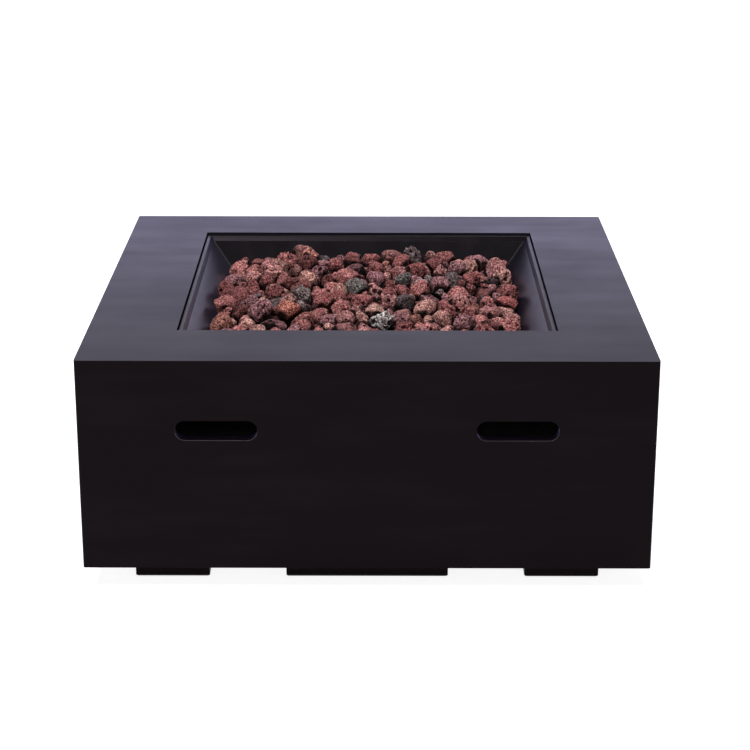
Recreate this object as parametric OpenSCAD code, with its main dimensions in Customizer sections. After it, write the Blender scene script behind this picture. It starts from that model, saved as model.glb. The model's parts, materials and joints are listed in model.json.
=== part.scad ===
// Square gas fire pit: a cast casing on low feet, with a drop-in steel fire bowl,
// a ring burner, a rock grate and a bed of lava rocks, and a recessed control box
// on the right-hand side. Units are millimetres.
// Origin: on the ground, midway between the casing's sides. +X right, +Y back, +Z up.

/* [Casing] */
// Width of the casing, left to right
body_w = 890; // [800:1:1080]
// Depth of the casing, front to back
body_d = 890; // [800:1:1080]
// Height of the casing, without its feet
body_h = 342; // [285:1:415]
// Thickness of the casing's walls
wall_t = 18; // [15:0.5:22]
// Thickness of the frame on top
top_t = 28; // [22:0.5:36]
// Radius of the casing's upright corners
corner_r = 4; // [2:0.5:12]
// Width of the opening in the top
opening_w = 606; // [500:1:730]
// Depth of the opening in the top, front to back
opening_d = 610; // [500:1:732]
// How far the opening sits behind the casing's centre
opening_shift = 15; // [0:1:25]

/* [Hand slots] */
// Length of a hand slot
slot_l = 127; // [105:1:155]
// Height of a hand slot
slot_h = 31.5; // [26:0.5:38]
// Distance from the middle of the casing to a slot's middle
slot_x = 231.5; // [190:0.5:280]
// Height of a slot's middle above the casing's lower edge
slot_rise = 229.3; // [195:0.1:245]

/* [Feet and base] */
// Height of the feet
foot_h = 48; // [40:1:60]
// Width and depth of a corner foot
foot_w = 119; // [100:1:140]
// Width of the middle foot on the front and on the back
foot_mid_w = 260; // [200:1:300]
// Distance from the casing's faces to the feet
foot_inset = 73; // [62:1:90]
// Thickness of the base panel
base_t = 15; // [12:0.5:20]
// Width of the square vent in the base panel
vent_w = 300; // [240:1:360]

/* [Fire bowl] */
// Depth of the bowl below its rim
bowl_depth = 100; // [90:1:120]
// Slope of the bowl's walls, in degrees from level
bowl_angle = 49.5; // [45:0.5:60]
// Distance from the frame's top face down to the bowl's rim
rim_drop = 11.5; // [8:0.5:14]
// Width of the level rim, from the opening's edge to the slope
rim_w = 11; // [10:0.5:14]
// Thickness of the bowl's sheet
sheet_t = 1.5; // [1:0.1:2]

/* [Burner] */
// Radius of the burner ring, to the middle of its tube
ring_r = 130; // [110:1:150]
// Diameter of the burner tube
ring_tube_d = 19; // [16:0.5:22]
// Number of flame ports in the ring
port_count = 24; // [12:1:32]

/* [Rocks and grate] */
// Height of the grate's underside above the bowl's floor
grate_rise = 44; // [42:1:50]
// Distance between the middles of two grate bars
bar_pitch = 24; // [20:0.5:28]
// Smallest radius of a lava rock
rock_r_min = 14; // [12:0.5:16]
// Largest radius of a lava rock
rock_r_max = 23; // [18:0.5:25]
// How many rocks are poured in
rock_count = 320; // [150:10:400]
// Depth of the rock bed's edge below the frame's top face
bed_drop = 32; // [26:1:40]
// Height of the heap above the bed's edge
mound_h = 30; // [10:1:30]

/* [Controls] */
// Height of the control box's middle above the casing's lower edge
control_rise = 150; // [115:1:170]
// Width of the recess in the control box
control_w = 170; // [150:1:200]
// Height of the recess in the control box
control_h = 84; // [70:1:100]
// Depth of the recess, from the flange to the back plate
control_recess = 36; // [34:0.5:42]
// Diameter of the control knob
knob_d = 42; // [34:1:50]
// How far the knob presses in
knob_travel = 4; // [3:0.5:4.5]
// How far the igniter button presses in
button_travel = 4; // [3:0.5:4.5]

/* [Hidden] */

$fn = 64;
// Overrun of a cut past the face that it leaves by
over = 1;
// Root gap between two sheets that are welded edge to edge
weld_gap = 0.05;
// Radial clearance of a running fit
run_gap = 0.05;
// Radial clearance of a fixed spigot, screw or lead in its hole
fixed_gap = 0.1;
// Gap between two fitted parts that only need to drop in
drop_gap = 1;

// Small screws and the hexagonal socket in every screw's head, as shares of the head
small_screw_d = 4;
small_screw_l = 9.5;
small_head_d = 7;
small_head_h = 2.4;
box_screw_l = 11;
pilot_screw_l = 10;
socket_share = 0.5;
socket_floor = 0.35;

// Levels
base_z = foot_h;
top_z = base_z + body_h;
soffit_z = top_z - top_t;
panel_z = base_z + base_t;
rim_z = top_z - rim_drop;
bowl_floor_z = rim_z - bowl_depth;
bowl_under_z = bowl_floor_z - sheet_t;

// Inside of the casing
inner_w = body_w - 2 * wall_t;
inner_d = body_d - 2 * wall_t;

// Bowl, its seal and the seat that they share
seal_t = 1;
seat_z = rim_z - sheet_t - seal_t;
flange_gap = 1.5;
seat_gap = 1;
bowl_slope = tan(bowl_angle);
wall_shift = sheet_t / sin(bowl_angle);
bowl_x = opening_w / 2 - rim_w;
bowl_y = opening_d / 2 - rim_w;
function bowl_half(rim_half, z) = rim_half - (rim_z - z) / bowl_slope;
function bowl_outer(rim_half, z) = bowl_half(rim_half, z) + wall_shift;
seat_x = bowl_outer(bowl_x, rim_z - sheet_t) + seat_gap;
seat_y = bowl_outer(bowl_y, rim_z - sheet_t) + seat_gap;
drain_d = 8;
drain_in = 30;

// Burner, stacked up from the bowl's floor
ring_lift = 8;
ring_z = bowl_floor_z + ring_lift + ring_tube_d / 2;
tube_wall = 1.2;
port_d = 3.5;
hub_d = 40;
hub_cap_h = 2;
neck_d = 20.6;
neck_l = 20;
gas_d = 12;
locknut_h = 7;
locknut_d = 38;

// Elbow, mixer and jet under the bowl, on one level line towards the controls
elbow_d = 30;
elbow_l = 32;
branch_d = 26;
elbow_top_z = bowl_under_z - locknut_h;
elbow_drop = 23;
mixer_z = elbow_top_z - elbow_drop;
socket_l = neck_l - locknut_h - sheet_t;
spigot_d = 19.6;
spigot_l = 12;
mixer_d = 24;
mixer_bore_d = 18;
mixer_x = elbow_l;
mixer_l = 80;
mixer_end_x = mixer_x + mixer_l;
end_wall = 6;
air_window_l = 12;
air_window_w = 11;
shutter_l = 20;
shutter_d = 28;
shutter_x = mixer_x + 50;
tab_l = 10;
tab_t = 2.4;
tab_out = 7;
jet_d = 10;
jet_l = 14;
jet_throat_l = 5;
jet_feed_d = 6;
jet_hex_d = 18;
jet_hex_l = 9;
jet_bore_d = 1.6;
pipe_d = 10;
pipe_bore_d = 7;
pipe_nut_d = 19;
pipe_nut_l = 14;

// Grate
bar_w = 6;
bar_t = 5;
grate_border = 14;
grate_gap = 0.3;
grate_z = bowl_floor_z + grate_rise;
grate_top_z = grate_z + bar_t;
tie_y = 75;
tie_top_z = grate_z + bar_t / 2;

// Rocks
rock_gap = 0.05;
rock_tries = 12;
roll_start = 8;
roll_end = 0.5;
roll_reach = 4;
rock_seed = 11;
heap_x = -50;
heap_y = 60;
heap_power = 4;
rock_rise = 6;
bed_z = top_z - bed_drop;
ceiling_z = top_z - 2.5;
rock_reach_x = bowl_half(bowl_x, bed_z);
rock_reach_y = bowl_half(bowl_y, bed_z);

// Control box in the right-hand wall
face_x = body_w / 2;
control_z = base_z + control_rise;
flange_w = 14;
flange_sink = 4.5;
flange_x = face_x - flange_sink;
plate_x = flange_x + sheet_t - control_recess;
plate_back_x = plate_x - sheet_t;

// Gas valve behind the control box
knob_y = -36;
valve_l = 60;
valve_w = 44;
valve_h = 40;
valve_rear_x = plate_back_x - valve_l;
stem_d = 8;
stem_flat = 3;
stem_in = 20.5;
stem_inner_x = plate_back_x - stem_in;
stem_hole_d = stem_d + 2;
chamber_d = 10;
chamber_ahead = 2;
chamber_behind = 18;
chamber_front_x = stem_inner_x + chamber_ahead;
chamber_rear_x = stem_inner_x - chamber_behind;
rod_d = 4;
rod_collar_d = 9.4;
rod_collar_t = 1.5;
rod_in = 6;
rod_spare = 2;
rod_inner_x = chamber_rear_x - rod_in;
rod_bore_x = rod_inner_x - knob_travel - rod_spare;
bezel_t = 1.2;
bezel_d = 58;
bezel_hole_d = stem_d + 4;
mark_w = 2;
mark_l = 4;
mark_h = 0.5;
mark_edge = 1;
knob_spare = 0.8;
knob_x = plate_x + bezel_t + knob_travel + knob_spare;
knob_l = 20;
skirt_l = 7;
skirt_w = 4;
flute_count = 12;
flute_d = 7;
flute_sink = 1.5;
pointer_w = 1.8;
pointer_t = 1;
pointer_in = 4;
knob_bore_l = 16;
stem_spare = 1;
stem_tip_x = knob_x + knob_bore_l - stem_spare;
outlet_y = knob_y + 10;
outlet_z = control_z - 8;
outlet_bore_l = 10;
couple_y = knob_y - 12;
couple_z = control_z + 8;
couple_bore_d = 6;
couple_nut_d = 11;
couple_l = 8;
screw_spread = 15;

// Gas inlet under the valve: a 3/8 inch flare fitting with a 5/8-18 thread
inlet_x = plate_back_x - 42;
inlet_thread_d = 15.875;
inlet_thread_l = 16;
inlet_cone_l = 2.4;
inlet_cone_d = 11;
inlet_hex_d = 22;
inlet_hex_l = 8;
inlet_spigot_d = 12.8;
inlet_spigot_l = 9;
inlet_bore_d = 7;
inlet_hex_z = control_z - valve_h / 2 - inlet_hex_l;
inlet_l = inlet_cone_l + inlet_thread_l + inlet_hex_l + inlet_spigot_l;
hose_hole_d = 70;

// Push-button igniter
igniter_y = 44;
housing_d = 22;
bezel_ring_d = 28;
bezel_ring_t = 3;
button_d = 16;
button_collar_d = 17.6;
button_collar_t = 2;
chamber_bore_d = 18;
button_guide_l = 10;
collar_x = plate_x + bezel_ring_t - button_guide_l;
battery_d = 14.5;
battery_l = 50.5;
battery_tip_d = 5.5;
battery_tip_l = 1;
igniter_spring_l = 15;
battery_x = collar_x - button_collar_t - igniter_spring_l - battery_l;
housing_rear_x = battery_x;
end_cap_t = 6;
igniter_nut_d = 31;
igniter_nut_t = 4;

// Springs
wire_d = 0.9;
spring_end_gap = 0.2;
valve_spring_r = 3.6;
valve_spring_turns = 5;
igniter_spring_r = 5.5;
igniter_spring_turns = 5;
coil_steps = 12;
coil_sides = 8;

// Pilot group: electrode and thermocouple on a bracket inside the ring
pilot_x = 95;
pilot_y = opening_shift + 40;
electrode_y = pilot_y - 12;
couple_tip_y = pilot_y + 12;
pilot_screw_y = 27;
pilot_plate_l = 66;
pilot_plate_w = 22;
pilot_plate_t = 1.5;
hood_t = 1.2;
hood_h = 36;
hood_w = 18;
hood_half_l = 20;
ceramic_d = 7;
ceramic_up = 22;
ceramic_down = 20;
pin_d = 2;
pin_up = 29;
pin_down = 26;
probe_d = 5;
probe_up = 29;
probe_down = 18;
collar_extra = 4;
collar_h = 3;
floor_hole_extra = 2;

// Leads and pipe: the points each one passes, in order, with a straight stretch at each end
lead_d = 3;
couple_lead_d = 2.4;
lead_end_l = 12;
pipe_end_l = 17;
path_steps = 6;
lead_sides = 8;
pipe_sides = 12;
end_cap_x = housing_rear_x - end_cap_t;
lead_drop = 22;
lead_points = [
    [pilot_x, electrode_y, bowl_floor_z - pin_down],
    [pilot_x, electrode_y, bowl_floor_z - pin_down - lead_end_l],
    [pilot_x, electrode_y, bowl_floor_z - pin_down - lead_drop],
    [pilot_x + 40, electrode_y + 8, control_z - 14],
    [(pilot_x + end_cap_x) / 2, igniter_y + 6, control_z - 24],
    [end_cap_x - 40, igniter_y, control_z],
    [end_cap_x - lead_end_l, igniter_y, control_z],
    [end_cap_x, igniter_y, control_z]];
couple_inner_x = valve_rear_x - couple_l / 2;
couple_points = [
    [pilot_x, couple_tip_y, bowl_floor_z - probe_down],
    [pilot_x, couple_tip_y, bowl_floor_z - probe_down - lead_end_l],
    [pilot_x, couple_tip_y, bowl_floor_z - probe_down - lead_drop],
    [pilot_x + 50, couple_tip_y - 2, control_z - 20],
    [(pilot_x + valve_rear_x) / 2, 6, control_z - 36],
    [valve_rear_x - 60, couple_y, control_z - 10],
    [valve_rear_x - 36, couple_y, couple_z],
    [couple_inner_x - lead_end_l, couple_y, couple_z],
    [couple_inner_x, couple_y, couple_z]];
jet_end_x = mixer_end_x + jet_hex_l;
pipe_points = [
    [jet_end_x, opening_shift, mixer_z],
    [jet_end_x + pipe_end_l, opening_shift, mixer_z],
    [jet_end_x + 2 * pipe_end_l, opening_shift, mixer_z],
    [(jet_end_x + valve_rear_x) / 2, (opening_shift + outlet_y) / 2, (mixer_z + outlet_z) / 2],
    [valve_rear_x - 2 * pipe_end_l, outlet_y, outlet_z],
    [valve_rear_x - pipe_end_l, outlet_y, outlet_z],
    [valve_rear_x, outlet_y, outlet_z]];

// Heat shield over the valve and the igniter
shield_t = 1;
shield_in = 110;
shield_lip = 15;
shield_z = control_z + control_h / 2 + sheet_t;
rivet_d = 4;
rivet_head_d = 7.5;
rivet_head_t = 1.5;
rivet_x = (plate_back_x + face_x - wall_t) / 2;
rivet_y = control_w / 2 - 25;

// Base panel, its brackets and the screws
panel_gap = 2;
bracket_leg = 40;
bracket_l = 80;
bracket_t = 3;
bracket_hole_in = 22;
bracket_hole_spread = 25;
bracket_screw_l = 14;
bracket_screw_d = 6;
bracket_head_d = 11;
bracket_head_h = 4;
// The bracket on the controls' side stands this far from the hose hole
hose_hole_clear = 6;
side_bracket_y = knob_y + hose_hole_d / 2 + hose_hole_clear + bracket_l / 2;
foot_screw_l = 45;
foot_screw_d = 8;
foot_head_d = 13;
foot_head_h = 5.3;
foot_spread = 30;
foot_mid_spread = 90;
foot_edge = 3;

// Places of the feet
foot_out_x = body_w / 2 - foot_inset - foot_w / 2;
foot_out_y = body_d / 2 - foot_inset - foot_w / 2;

// ---- Shared shapes ----

// A block standing on its origin, centred left to right and front to back
module block(w, d, h) {
    translate([-w / 2, -d / 2, 0])
        cube([w, d, h]);
}

// A block with rounded upright edges, standing on its origin
module rounded_block(w, d, h, r) {
    linear_extrude(h)
        union() {
            square([w - 2 * r, d], center = true);
            square([w, d - 2 * r], center = true);
            for (x = [-1, 1], y = [-1, 1])
                translate([x * (w / 2 - r), y * (d / 2 - r)])
                    circle(r);
        }
}

// A block whose four sides lean, from half sizes low at z0 to half sizes high at z1
module tapered_block(low, z0, high, z1) {
    polyhedron(
        points = [
            [-low[0], -low[1], z0], [low[0], -low[1], z0],
            [low[0], low[1], z0], [-low[0], low[1], z0],
            [-high[0], -high[1], z1], [high[0], -high[1], z1],
            [high[0], high[1], z1], [-high[0], high[1], z1]],
        faces = [
            [0, 1, 2, 3], [7, 6, 5, 4], [4, 5, 1, 0],
            [5, 6, 2, 1], [6, 7, 3, 2], [7, 4, 0, 3]]);
}

// A cylinder along +X
module rod_x(d, l) {
    rotate([0, 90, 0])
        cylinder(d = d, h = l);
}

// A hexagonal prism along +X, measured across its corners
module hex_x(d, l) {
    rotate([0, 90, 0])
        cylinder(d = d, h = l, $fn = 6);
}

// A screw pointing down, its head's underside on the origin
module screw(d, l, head_d, head_h) {
    difference() {
        union() {
            translate([0, 0, -l])
                cylinder(d = d, h = l);
            cylinder(d = head_d, h = head_h);
        }
        translate([0, 0, head_h * socket_floor])
            cylinder(d = head_d * socket_share, h = head_h, $fn = 6);
    }
}

// Points of a smooth curve through the given points
function blend_point(a, b, c, d, t) =
    0.5 * ((2 * b) + (c - a) * t + (2 * a - 5 * b + 4 * c - d) * t * t
        + (3 * b - a - 3 * c + d) * t * t * t);
function smooth_path(p, steps) = [
    for (i = [0:len(p) - 2], s = [0:steps - 1])
        blend_point(p[max(i - 1, 0)], p[i], p[i + 1], p[min(i + 2, len(p) - 1)], s / steps),
    p[len(p) - 1]];
function unit(v) = v / norm(v);
function path_direction(p, i) = unit(p[min(i + 1, len(p) - 1)] - p[max(i - 1, 0)]);

// A round tube or wire swept along a path, whose ends are cut square to the first and last stretch
module swept(path, d, sides, reference = [0, 1, 0]) {
    rings = [
        for (i = [0:len(path) - 1])
            let (t = path_direction(path, i), u = unit(cross(t, reference)), v = cross(t, u))
                [for (k = [0:sides - 1])
                    path[i] + (u * cos(360 * k / sides) + v * sin(360 * k / sides)) * d / 2]];
    last = len(path) - 1;
    polyhedron(
        points = [for (ring = rings) each ring],
        faces = concat(
            [[for (k = [0:sides - 1]) k]],
            [[for (k = [0:sides - 1]) last * sides + sides - 1 - k]],
            [for (i = [0:last - 1], k = [0:sides - 1])
                [i * sides + k, (i + 1) * sides + k,
                    (i + 1) * sides + (k + 1) % sides, i * sides + (k + 1) % sides]]));
}

// A coil spring along +X from the origin
module coil(r, l, turns) {
    steps = turns * coil_steps;
    path = [
        for (i = [0:steps])
            let (a = 360 * i / coil_steps)
                [wire_d / 2 + (l - wire_d) * i / steps, r * cos(a), r * sin(a)]];
    swept(path, wire_d, coil_sides, reference = [1, 0, 0]);
}

// ---- Casing, feet and base ----

// A hand slot's shape, cut through a wall that faces front or back
module slot_cut(y0, y1) {
    translate([0, y1, 0])
        rotate([90, 0, 0])
            linear_extrude(y1 - y0)
                union() {
                    square([slot_l - slot_h, slot_h], center = true);
                    for (x = [-1, 1])
                        translate([x * (slot_l - slot_h) / 2, 0])
                            circle(d = slot_h);
                }
}

module casing_cuts() {
    translate([0, 0, base_z - over])
        block(inner_w, inner_d, soffit_z - base_z + over);
    translate([0, opening_shift, seat_z])
        block(opening_w, opening_d, top_z - seat_z + over);
    // The seat's throat leans like the bowl's wall
    reach = over / bowl_slope;
    fall = (seat_z - soffit_z) / bowl_slope;
    translate([0, opening_shift, 0])
        tapered_block(
            [seat_x - fall - reach, seat_y - fall - reach], soffit_z - over,
            [seat_x + reach, seat_y + reach], seat_z + over);
    for (x = [-1, 1], y = [-1, 1])
        translate([x * slot_x, y * (body_d - wall_t) / 2, base_z + slot_rise])
            slot_cut(-wall_t / 2 - over, wall_t / 2 + over);
    // Control box: its hole, and a shallow recess for its flange
    hole_w = control_w + 2 * sheet_t + 2 * drop_gap;
    hole_h = control_h + 2 * sheet_t + 2 * drop_gap;
    translate([face_x - wall_t - over, -hole_w / 2, control_z - hole_h / 2])
        cube([wall_t + 2 * over, hole_w, hole_h]);
    rebate_w = control_w + 2 * flange_w + 2 * drop_gap;
    rebate_h = control_h + 2 * flange_w + 2 * drop_gap;
    translate([flange_x, -rebate_w / 2, control_z - rebate_h / 2])
        cube([flange_sink + over, rebate_w, rebate_h]);
    at_box_screws()
        translate([0, 0, -box_screw_l])
            cylinder(d = small_screw_d + 2 * fixed_gap, h = box_screw_l + over);
    at_brackets()
        at_wall_screws()
            translate([0, 0, bracket_t - bracket_screw_l - over])
                cylinder(d = bracket_screw_d + 2 * fixed_gap, h = bracket_screw_l + over);
}

module casing() {
    color([0.13, 0.12, 0.14])
        difference() {
            translate([0, 0, base_z])
                rounded_block(body_w, body_d, body_h, corner_r);
            casing_cuts();
        }
}

module base_panel() {
    color([0.30, 0.29, 0.30])
        difference() {
            translate([0, 0, base_z])
                block(inner_w - 2 * panel_gap, inner_d - 2 * panel_gap, base_t);
            translate([0, 0, base_z - over])
                block(vent_w, vent_w, base_t + 2 * over);
            translate([inlet_x, knob_y, base_z - over])
                cylinder(d = hose_hole_d, h = base_t + 2 * over);
            at_foot_screws()
                translate([0, 0, -base_t - over])
                    cylinder(d = foot_screw_d + 2 * fixed_gap, h = base_t + 2 * over);
            at_brackets()
                at_panel_screws()
                    translate([0, 0, bracket_t - bracket_screw_l - over])
                        cylinder(d = bracket_screw_d + 2 * fixed_gap, h = bracket_screw_l + over);
        }
}

// A foot: a block with a small chamfer round its lower edge, drilled for two screws
module foot(w, spread) {
    color([0.11, 0.10, 0.12])
        difference() {
            union() {
                tapered_block(
                    [w / 2 - foot_edge, foot_w / 2 - foot_edge], 0,
                    [w / 2, foot_w / 2], foot_edge);
                translate([0, 0, foot_edge])
                    block(w, foot_w, foot_h - foot_edge);
            }
            for (x = [-1, 1])
                translate([x * spread, 0, foot_h + base_t - foot_screw_l - over])
                    cylinder(d = foot_screw_d + 2 * fixed_gap, h = foot_screw_l);
        }
}

module foot_front_left() {
    translate([-foot_out_x, -foot_out_y, 0])
        foot(foot_w, foot_spread);
}

module foot_front_middle() {
    translate([0, -foot_out_y, 0])
        foot(foot_mid_w, foot_mid_spread);
}

module foot_front_right() {
    translate([foot_out_x, -foot_out_y, 0])
        foot(foot_w, foot_spread);
}

module foot_rear_left() {
    translate([-foot_out_x, foot_out_y, 0])
        foot(foot_w, foot_spread);
}

module foot_rear_middle() {
    translate([0, foot_out_y, 0])
        foot(foot_mid_w, foot_mid_spread);
}

module foot_rear_right() {
    translate([foot_out_x, foot_out_y, 0])
        foot(foot_w, foot_spread);
}

// Where each foot's screws enter the base panel from above
module at_foot_screws() {
    for (y = [-1, 1], x = [-1, 1]) {
        for (s = [-1, 1])
            translate([x * foot_out_x + s * foot_spread, y * foot_out_y, panel_z])
                children();
        translate([x * foot_mid_spread, y * foot_out_y, panel_z])
            children();
    }
}

module foot_screws() {
    color([0.70, 0.70, 0.72])
        at_foot_screws()
            screw(foot_screw_d, foot_screw_l, foot_head_d, foot_head_h);
}

// The four brackets: origin in the corner of base panel and wall, +X along the wall, +Y inwards
module at_brackets() {
    for (place = [[0, 0, inner_d], [90, side_bracket_y, inner_w], [180, 0, inner_d], [270, 0, inner_w]])
        rotate([0, 0, place[0]])
            translate([place[1], -place[2] / 2, panel_z])
                children();
}

// Places of the screws of one bracket: the screw's head sits on the bracket, shank outwards
module at_wall_screws() {
    for (x = [-1, 1])
        translate([x * bracket_hole_spread, bracket_t, bracket_hole_in])
            rotate([-90, 0, 0])
                translate([0, 0, -bracket_t])
                    children();
}

module at_panel_screws() {
    for (x = [-1, 1])
        translate([x * bracket_hole_spread, bracket_hole_in, 0])
            children();
}

module base_brackets() {
    hole_d = bracket_screw_d + 2 * fixed_gap;
    color([0.62, 0.63, 0.65])
        at_brackets()
            difference() {
                union() {
                    translate([-bracket_l / 2, 0, 0])
                        cube([bracket_l, bracket_t, bracket_leg]);
                    translate([-bracket_l / 2, 0, 0])
                        cube([bracket_l, bracket_leg, bracket_t]);
                }
                at_wall_screws()
                    translate([0, 0, -over])
                        cylinder(d = hole_d, h = bracket_t + 2 * over);
                at_panel_screws()
                    translate([0, 0, -over])
                        cylinder(d = hole_d, h = bracket_t + 2 * over);
            }
}

module bracket_screws() {
    color([0.70, 0.70, 0.72])
        at_brackets() {
            at_wall_screws()
                translate([0, 0, bracket_t])
                    screw(bracket_screw_d, bracket_screw_l, bracket_head_d, bracket_head_h);
            at_panel_screws()
                translate([0, 0, bracket_t])
                    screw(bracket_screw_d, bracket_screw_l, bracket_head_d, bracket_head_h);
        }
}

// ---- Fire bowl and what stands in it ----

module rim_seal() {
    out_w = opening_w - 2 * flange_gap;
    out_d = opening_d - 2 * flange_gap;
    color([0.80, 0.78, 0.72])
        translate([0, opening_shift, seat_z])
            difference() {
                block(out_w, out_d, seal_t);
                translate([0, 0, -over])
                    block(2 * seat_x, 2 * seat_y, seal_t + 2 * over);
            }
}

// Holes in the bowl's floor: burner neck, pilot group and drains
module floor_holes() {
    translate([0, opening_shift, bowl_under_z - over]) {
        cylinder(d = neck_d + 2 * fixed_gap, h = sheet_t + 2 * over);
        for (x = [-1, 1], y = [-1, 1])
            translate([
                x * (bowl_half(bowl_x, bowl_floor_z) - drain_in),
                y * (bowl_half(bowl_y, bowl_floor_z) - drain_in), 0])
                cylinder(d = drain_d, h = sheet_t + 2 * over);
    }
    translate([pilot_x, electrode_y, bowl_under_z - over])
        cylinder(d = ceramic_d + floor_hole_extra, h = sheet_t + 2 * over);
    translate([pilot_x, couple_tip_y, bowl_under_z - over])
        cylinder(d = probe_d + floor_hole_extra, h = sheet_t + 2 * over);
    at_pilot_screws()
        translate([0, 0, bowl_under_z - over])
            cylinder(d = small_screw_d + 2 * fixed_gap, h = sheet_t + 2 * over);
}

// Floor plate, whose edges lean like the sides that are welded onto it
module fire_bowl_floor() {
    color([0.16, 0.15, 0.18])
        difference() {
            translate([0, opening_shift, 0])
                tapered_block(
                    [bowl_outer(bowl_x, bowl_under_z), bowl_outer(bowl_y, bowl_under_z)],
                    bowl_under_z,
                    [bowl_outer(bowl_x, bowl_floor_z), bowl_outer(bowl_y, bowl_floor_z)],
                    bowl_floor_z);
            floor_holes();
        }
}

// The side sheet towards +X, mitred at both ends; end_half is the rim's half size along Y
module bowl_side(rim_half, end_half) {
    low_z = bowl_floor_z + weld_gap;
    high_z = rim_z - sheet_t - weld_gap;
    near_x = bowl_half(rim_half, low_z) - over;
    far_x = bowl_outer(rim_half, high_z) + over;
    mitre = end_half - rim_half - weld_gap;
    reach = far_x + mitre;
    intersection() {
        translate([0, reach, 0])
            rotate([90, 0, 0])
                linear_extrude(2 * reach)
                    polygon([
                        [bowl_half(rim_half, low_z), low_z],
                        [bowl_outer(rim_half, low_z), low_z],
                        [bowl_outer(rim_half, high_z), high_z],
                        [bowl_half(rim_half, high_z), high_z]]);
        translate([0, 0, low_z - over])
            linear_extrude(high_z - low_z + 2 * over)
                polygon([
                    [near_x, -near_x - mitre], [far_x, -reach],
                    [far_x, reach], [near_x, near_x + mitre]]);
    }
}

module fire_bowl_sides() {
    color([0.16, 0.15, 0.18])
        translate([0, opening_shift, 0])
            for (turn = [0, 180]) {
                rotate([0, 0, turn])
                    bowl_side(bowl_x, bowl_y);
                rotate([0, 0, turn + 90])
                    bowl_side(bowl_y, bowl_x);
            }
}

// Level rim that lies on the seal
module fire_bowl_rim() {
    rise = over / bowl_slope;
    under_z = rim_z - sheet_t;
    color([0.16, 0.15, 0.18])
        translate([0, opening_shift, 0])
            difference() {
                translate([0, 0, under_z])
                    block(opening_w - 2 * flange_gap, opening_d - 2 * flange_gap, sheet_t);
                tapered_block(
                    [bowl_half(bowl_x, under_z) - rise, bowl_half(bowl_y, under_z) - rise],
                    under_z - over,
                    [bowl_x + rise, bowl_y + rise], rim_z + over);
            }
}

module at_ring_ports() {
    for (i = [0:port_count - 1])
        rotate([0, 0, (i + 0.5) * 360 / port_count])
            translate([ring_r, 0, 0])
                children();
}

// Welded ring, cross tube, hub and threaded neck, all hollow
module ring_burner() {
    bore_d = ring_tube_d - 2 * tube_wall;
    color([0.72, 0.72, 0.73])
        translate([0, opening_shift, ring_z])
            difference() {
                union() {
                    rotate_extrude()
                        translate([ring_r, 0])
                            circle(d = ring_tube_d);
                    translate([-ring_r, 0, 0])
                        rod_x(ring_tube_d, 2 * ring_r);
                    translate([0, 0, bowl_floor_z - ring_z])
                        cylinder(d = hub_d, h = ring_z - bowl_floor_z + ring_tube_d / 2 + hub_cap_h);
                    translate([0, 0, bowl_floor_z - ring_z - neck_l])
                        cylinder(d = neck_d, h = neck_l + over);
                }
                rotate_extrude()
                    translate([ring_r, 0])
                        circle(d = bore_d);
                translate([-ring_r, 0, 0])
                    rod_x(bore_d, 2 * ring_r);
                translate([0, 0, bowl_floor_z - ring_z - neck_l - over])
                    cylinder(d = gas_d, h = ring_z - bowl_floor_z + neck_l + over);
                at_ring_ports()
                    cylinder(d = port_d, h = ring_tube_d);
            }
}

// A hexagonal nut on the burner's neck, tight under the bowl's floor
module burner_locknut() {
    color([0.78, 0.66, 0.36])
        translate([0, opening_shift, elbow_top_z])
            difference() {
                cylinder(d = locknut_d, h = locknut_h, $fn = 6);
                translate([0, 0, -over])
                    cylinder(d = neck_d + 2 * fixed_gap, h = locknut_h + 2 * over);
            }
}

module burner_elbow() {
    color([0.78, 0.66, 0.36])
        translate([0, opening_shift, 0])
            difference() {
                union() {
                    translate([0, 0, mixer_z - elbow_d / 2])
                        cylinder(d = elbow_d, h = elbow_top_z - mixer_z + elbow_d / 2);
                    translate([0, 0, mixer_z])
                        rod_x(branch_d, elbow_l);
                }
                translate([0, 0, elbow_top_z - socket_l])
                    cylinder(d = neck_d + 2 * fixed_gap, h = socket_l + over);
                translate([0, 0, mixer_z])
                    cylinder(d = gas_d, h = elbow_top_z - mixer_z);
                translate([0, 0, mixer_z])
                    rod_x(gas_d, elbow_l);
                translate([elbow_l - spigot_l, 0, mixer_z])
                    rod_x(spigot_d + 2 * fixed_gap, spigot_l + over);
            }
}

// Air windows on both sides of the mixer, which the shutter covers or bares
module air_windows(d) {
    for (s = [0, 180])
        rotate([s, 0, 0])
            translate([(shutter_l - air_window_l) / 2, 0, -air_window_w / 2])
                cube([air_window_l, d, air_window_w]);
}

module mixer_tube() {
    color([0.72, 0.72, 0.73])
        translate([mixer_x, opening_shift, mixer_z])
            difference() {
                union() {
                    rod_x(mixer_d, mixer_l);
                    translate([-spigot_l, 0, 0])
                        rod_x(spigot_d, spigot_l + over);
                }
                translate([-spigot_l - over, 0, 0])
                    rod_x(gas_d, spigot_l + mixer_l - end_wall);
                translate([over, 0, 0])
                    rod_x(mixer_bore_d, mixer_l - end_wall - over);
                translate([mixer_l - end_wall - over, 0, 0])
                    rod_x(jet_d + 2 * fixed_gap, end_wall + 2 * over);
                translate([shutter_x - mixer_x, 0, 0])
                    air_windows(mixer_d);
            }
}

module air_shutter() {
    color([0.80, 0.80, 0.80])
        translate([shutter_x, opening_shift, mixer_z])
            difference() {
                union() {
                    rod_x(shutter_d, shutter_l);
                    // Thumb tab
                    translate([(shutter_l - tab_l) / 2, -tab_t / 2, -shutter_d / 2 - tab_out])
                        cube([tab_l, tab_t, tab_out + (shutter_d - mixer_d) / 2]);
                }
                translate([-over, 0, 0])
                    rod_x(mixer_d + 2 * run_gap, shutter_l + 2 * over);
                air_windows(shutter_d);
            }
}

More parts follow.
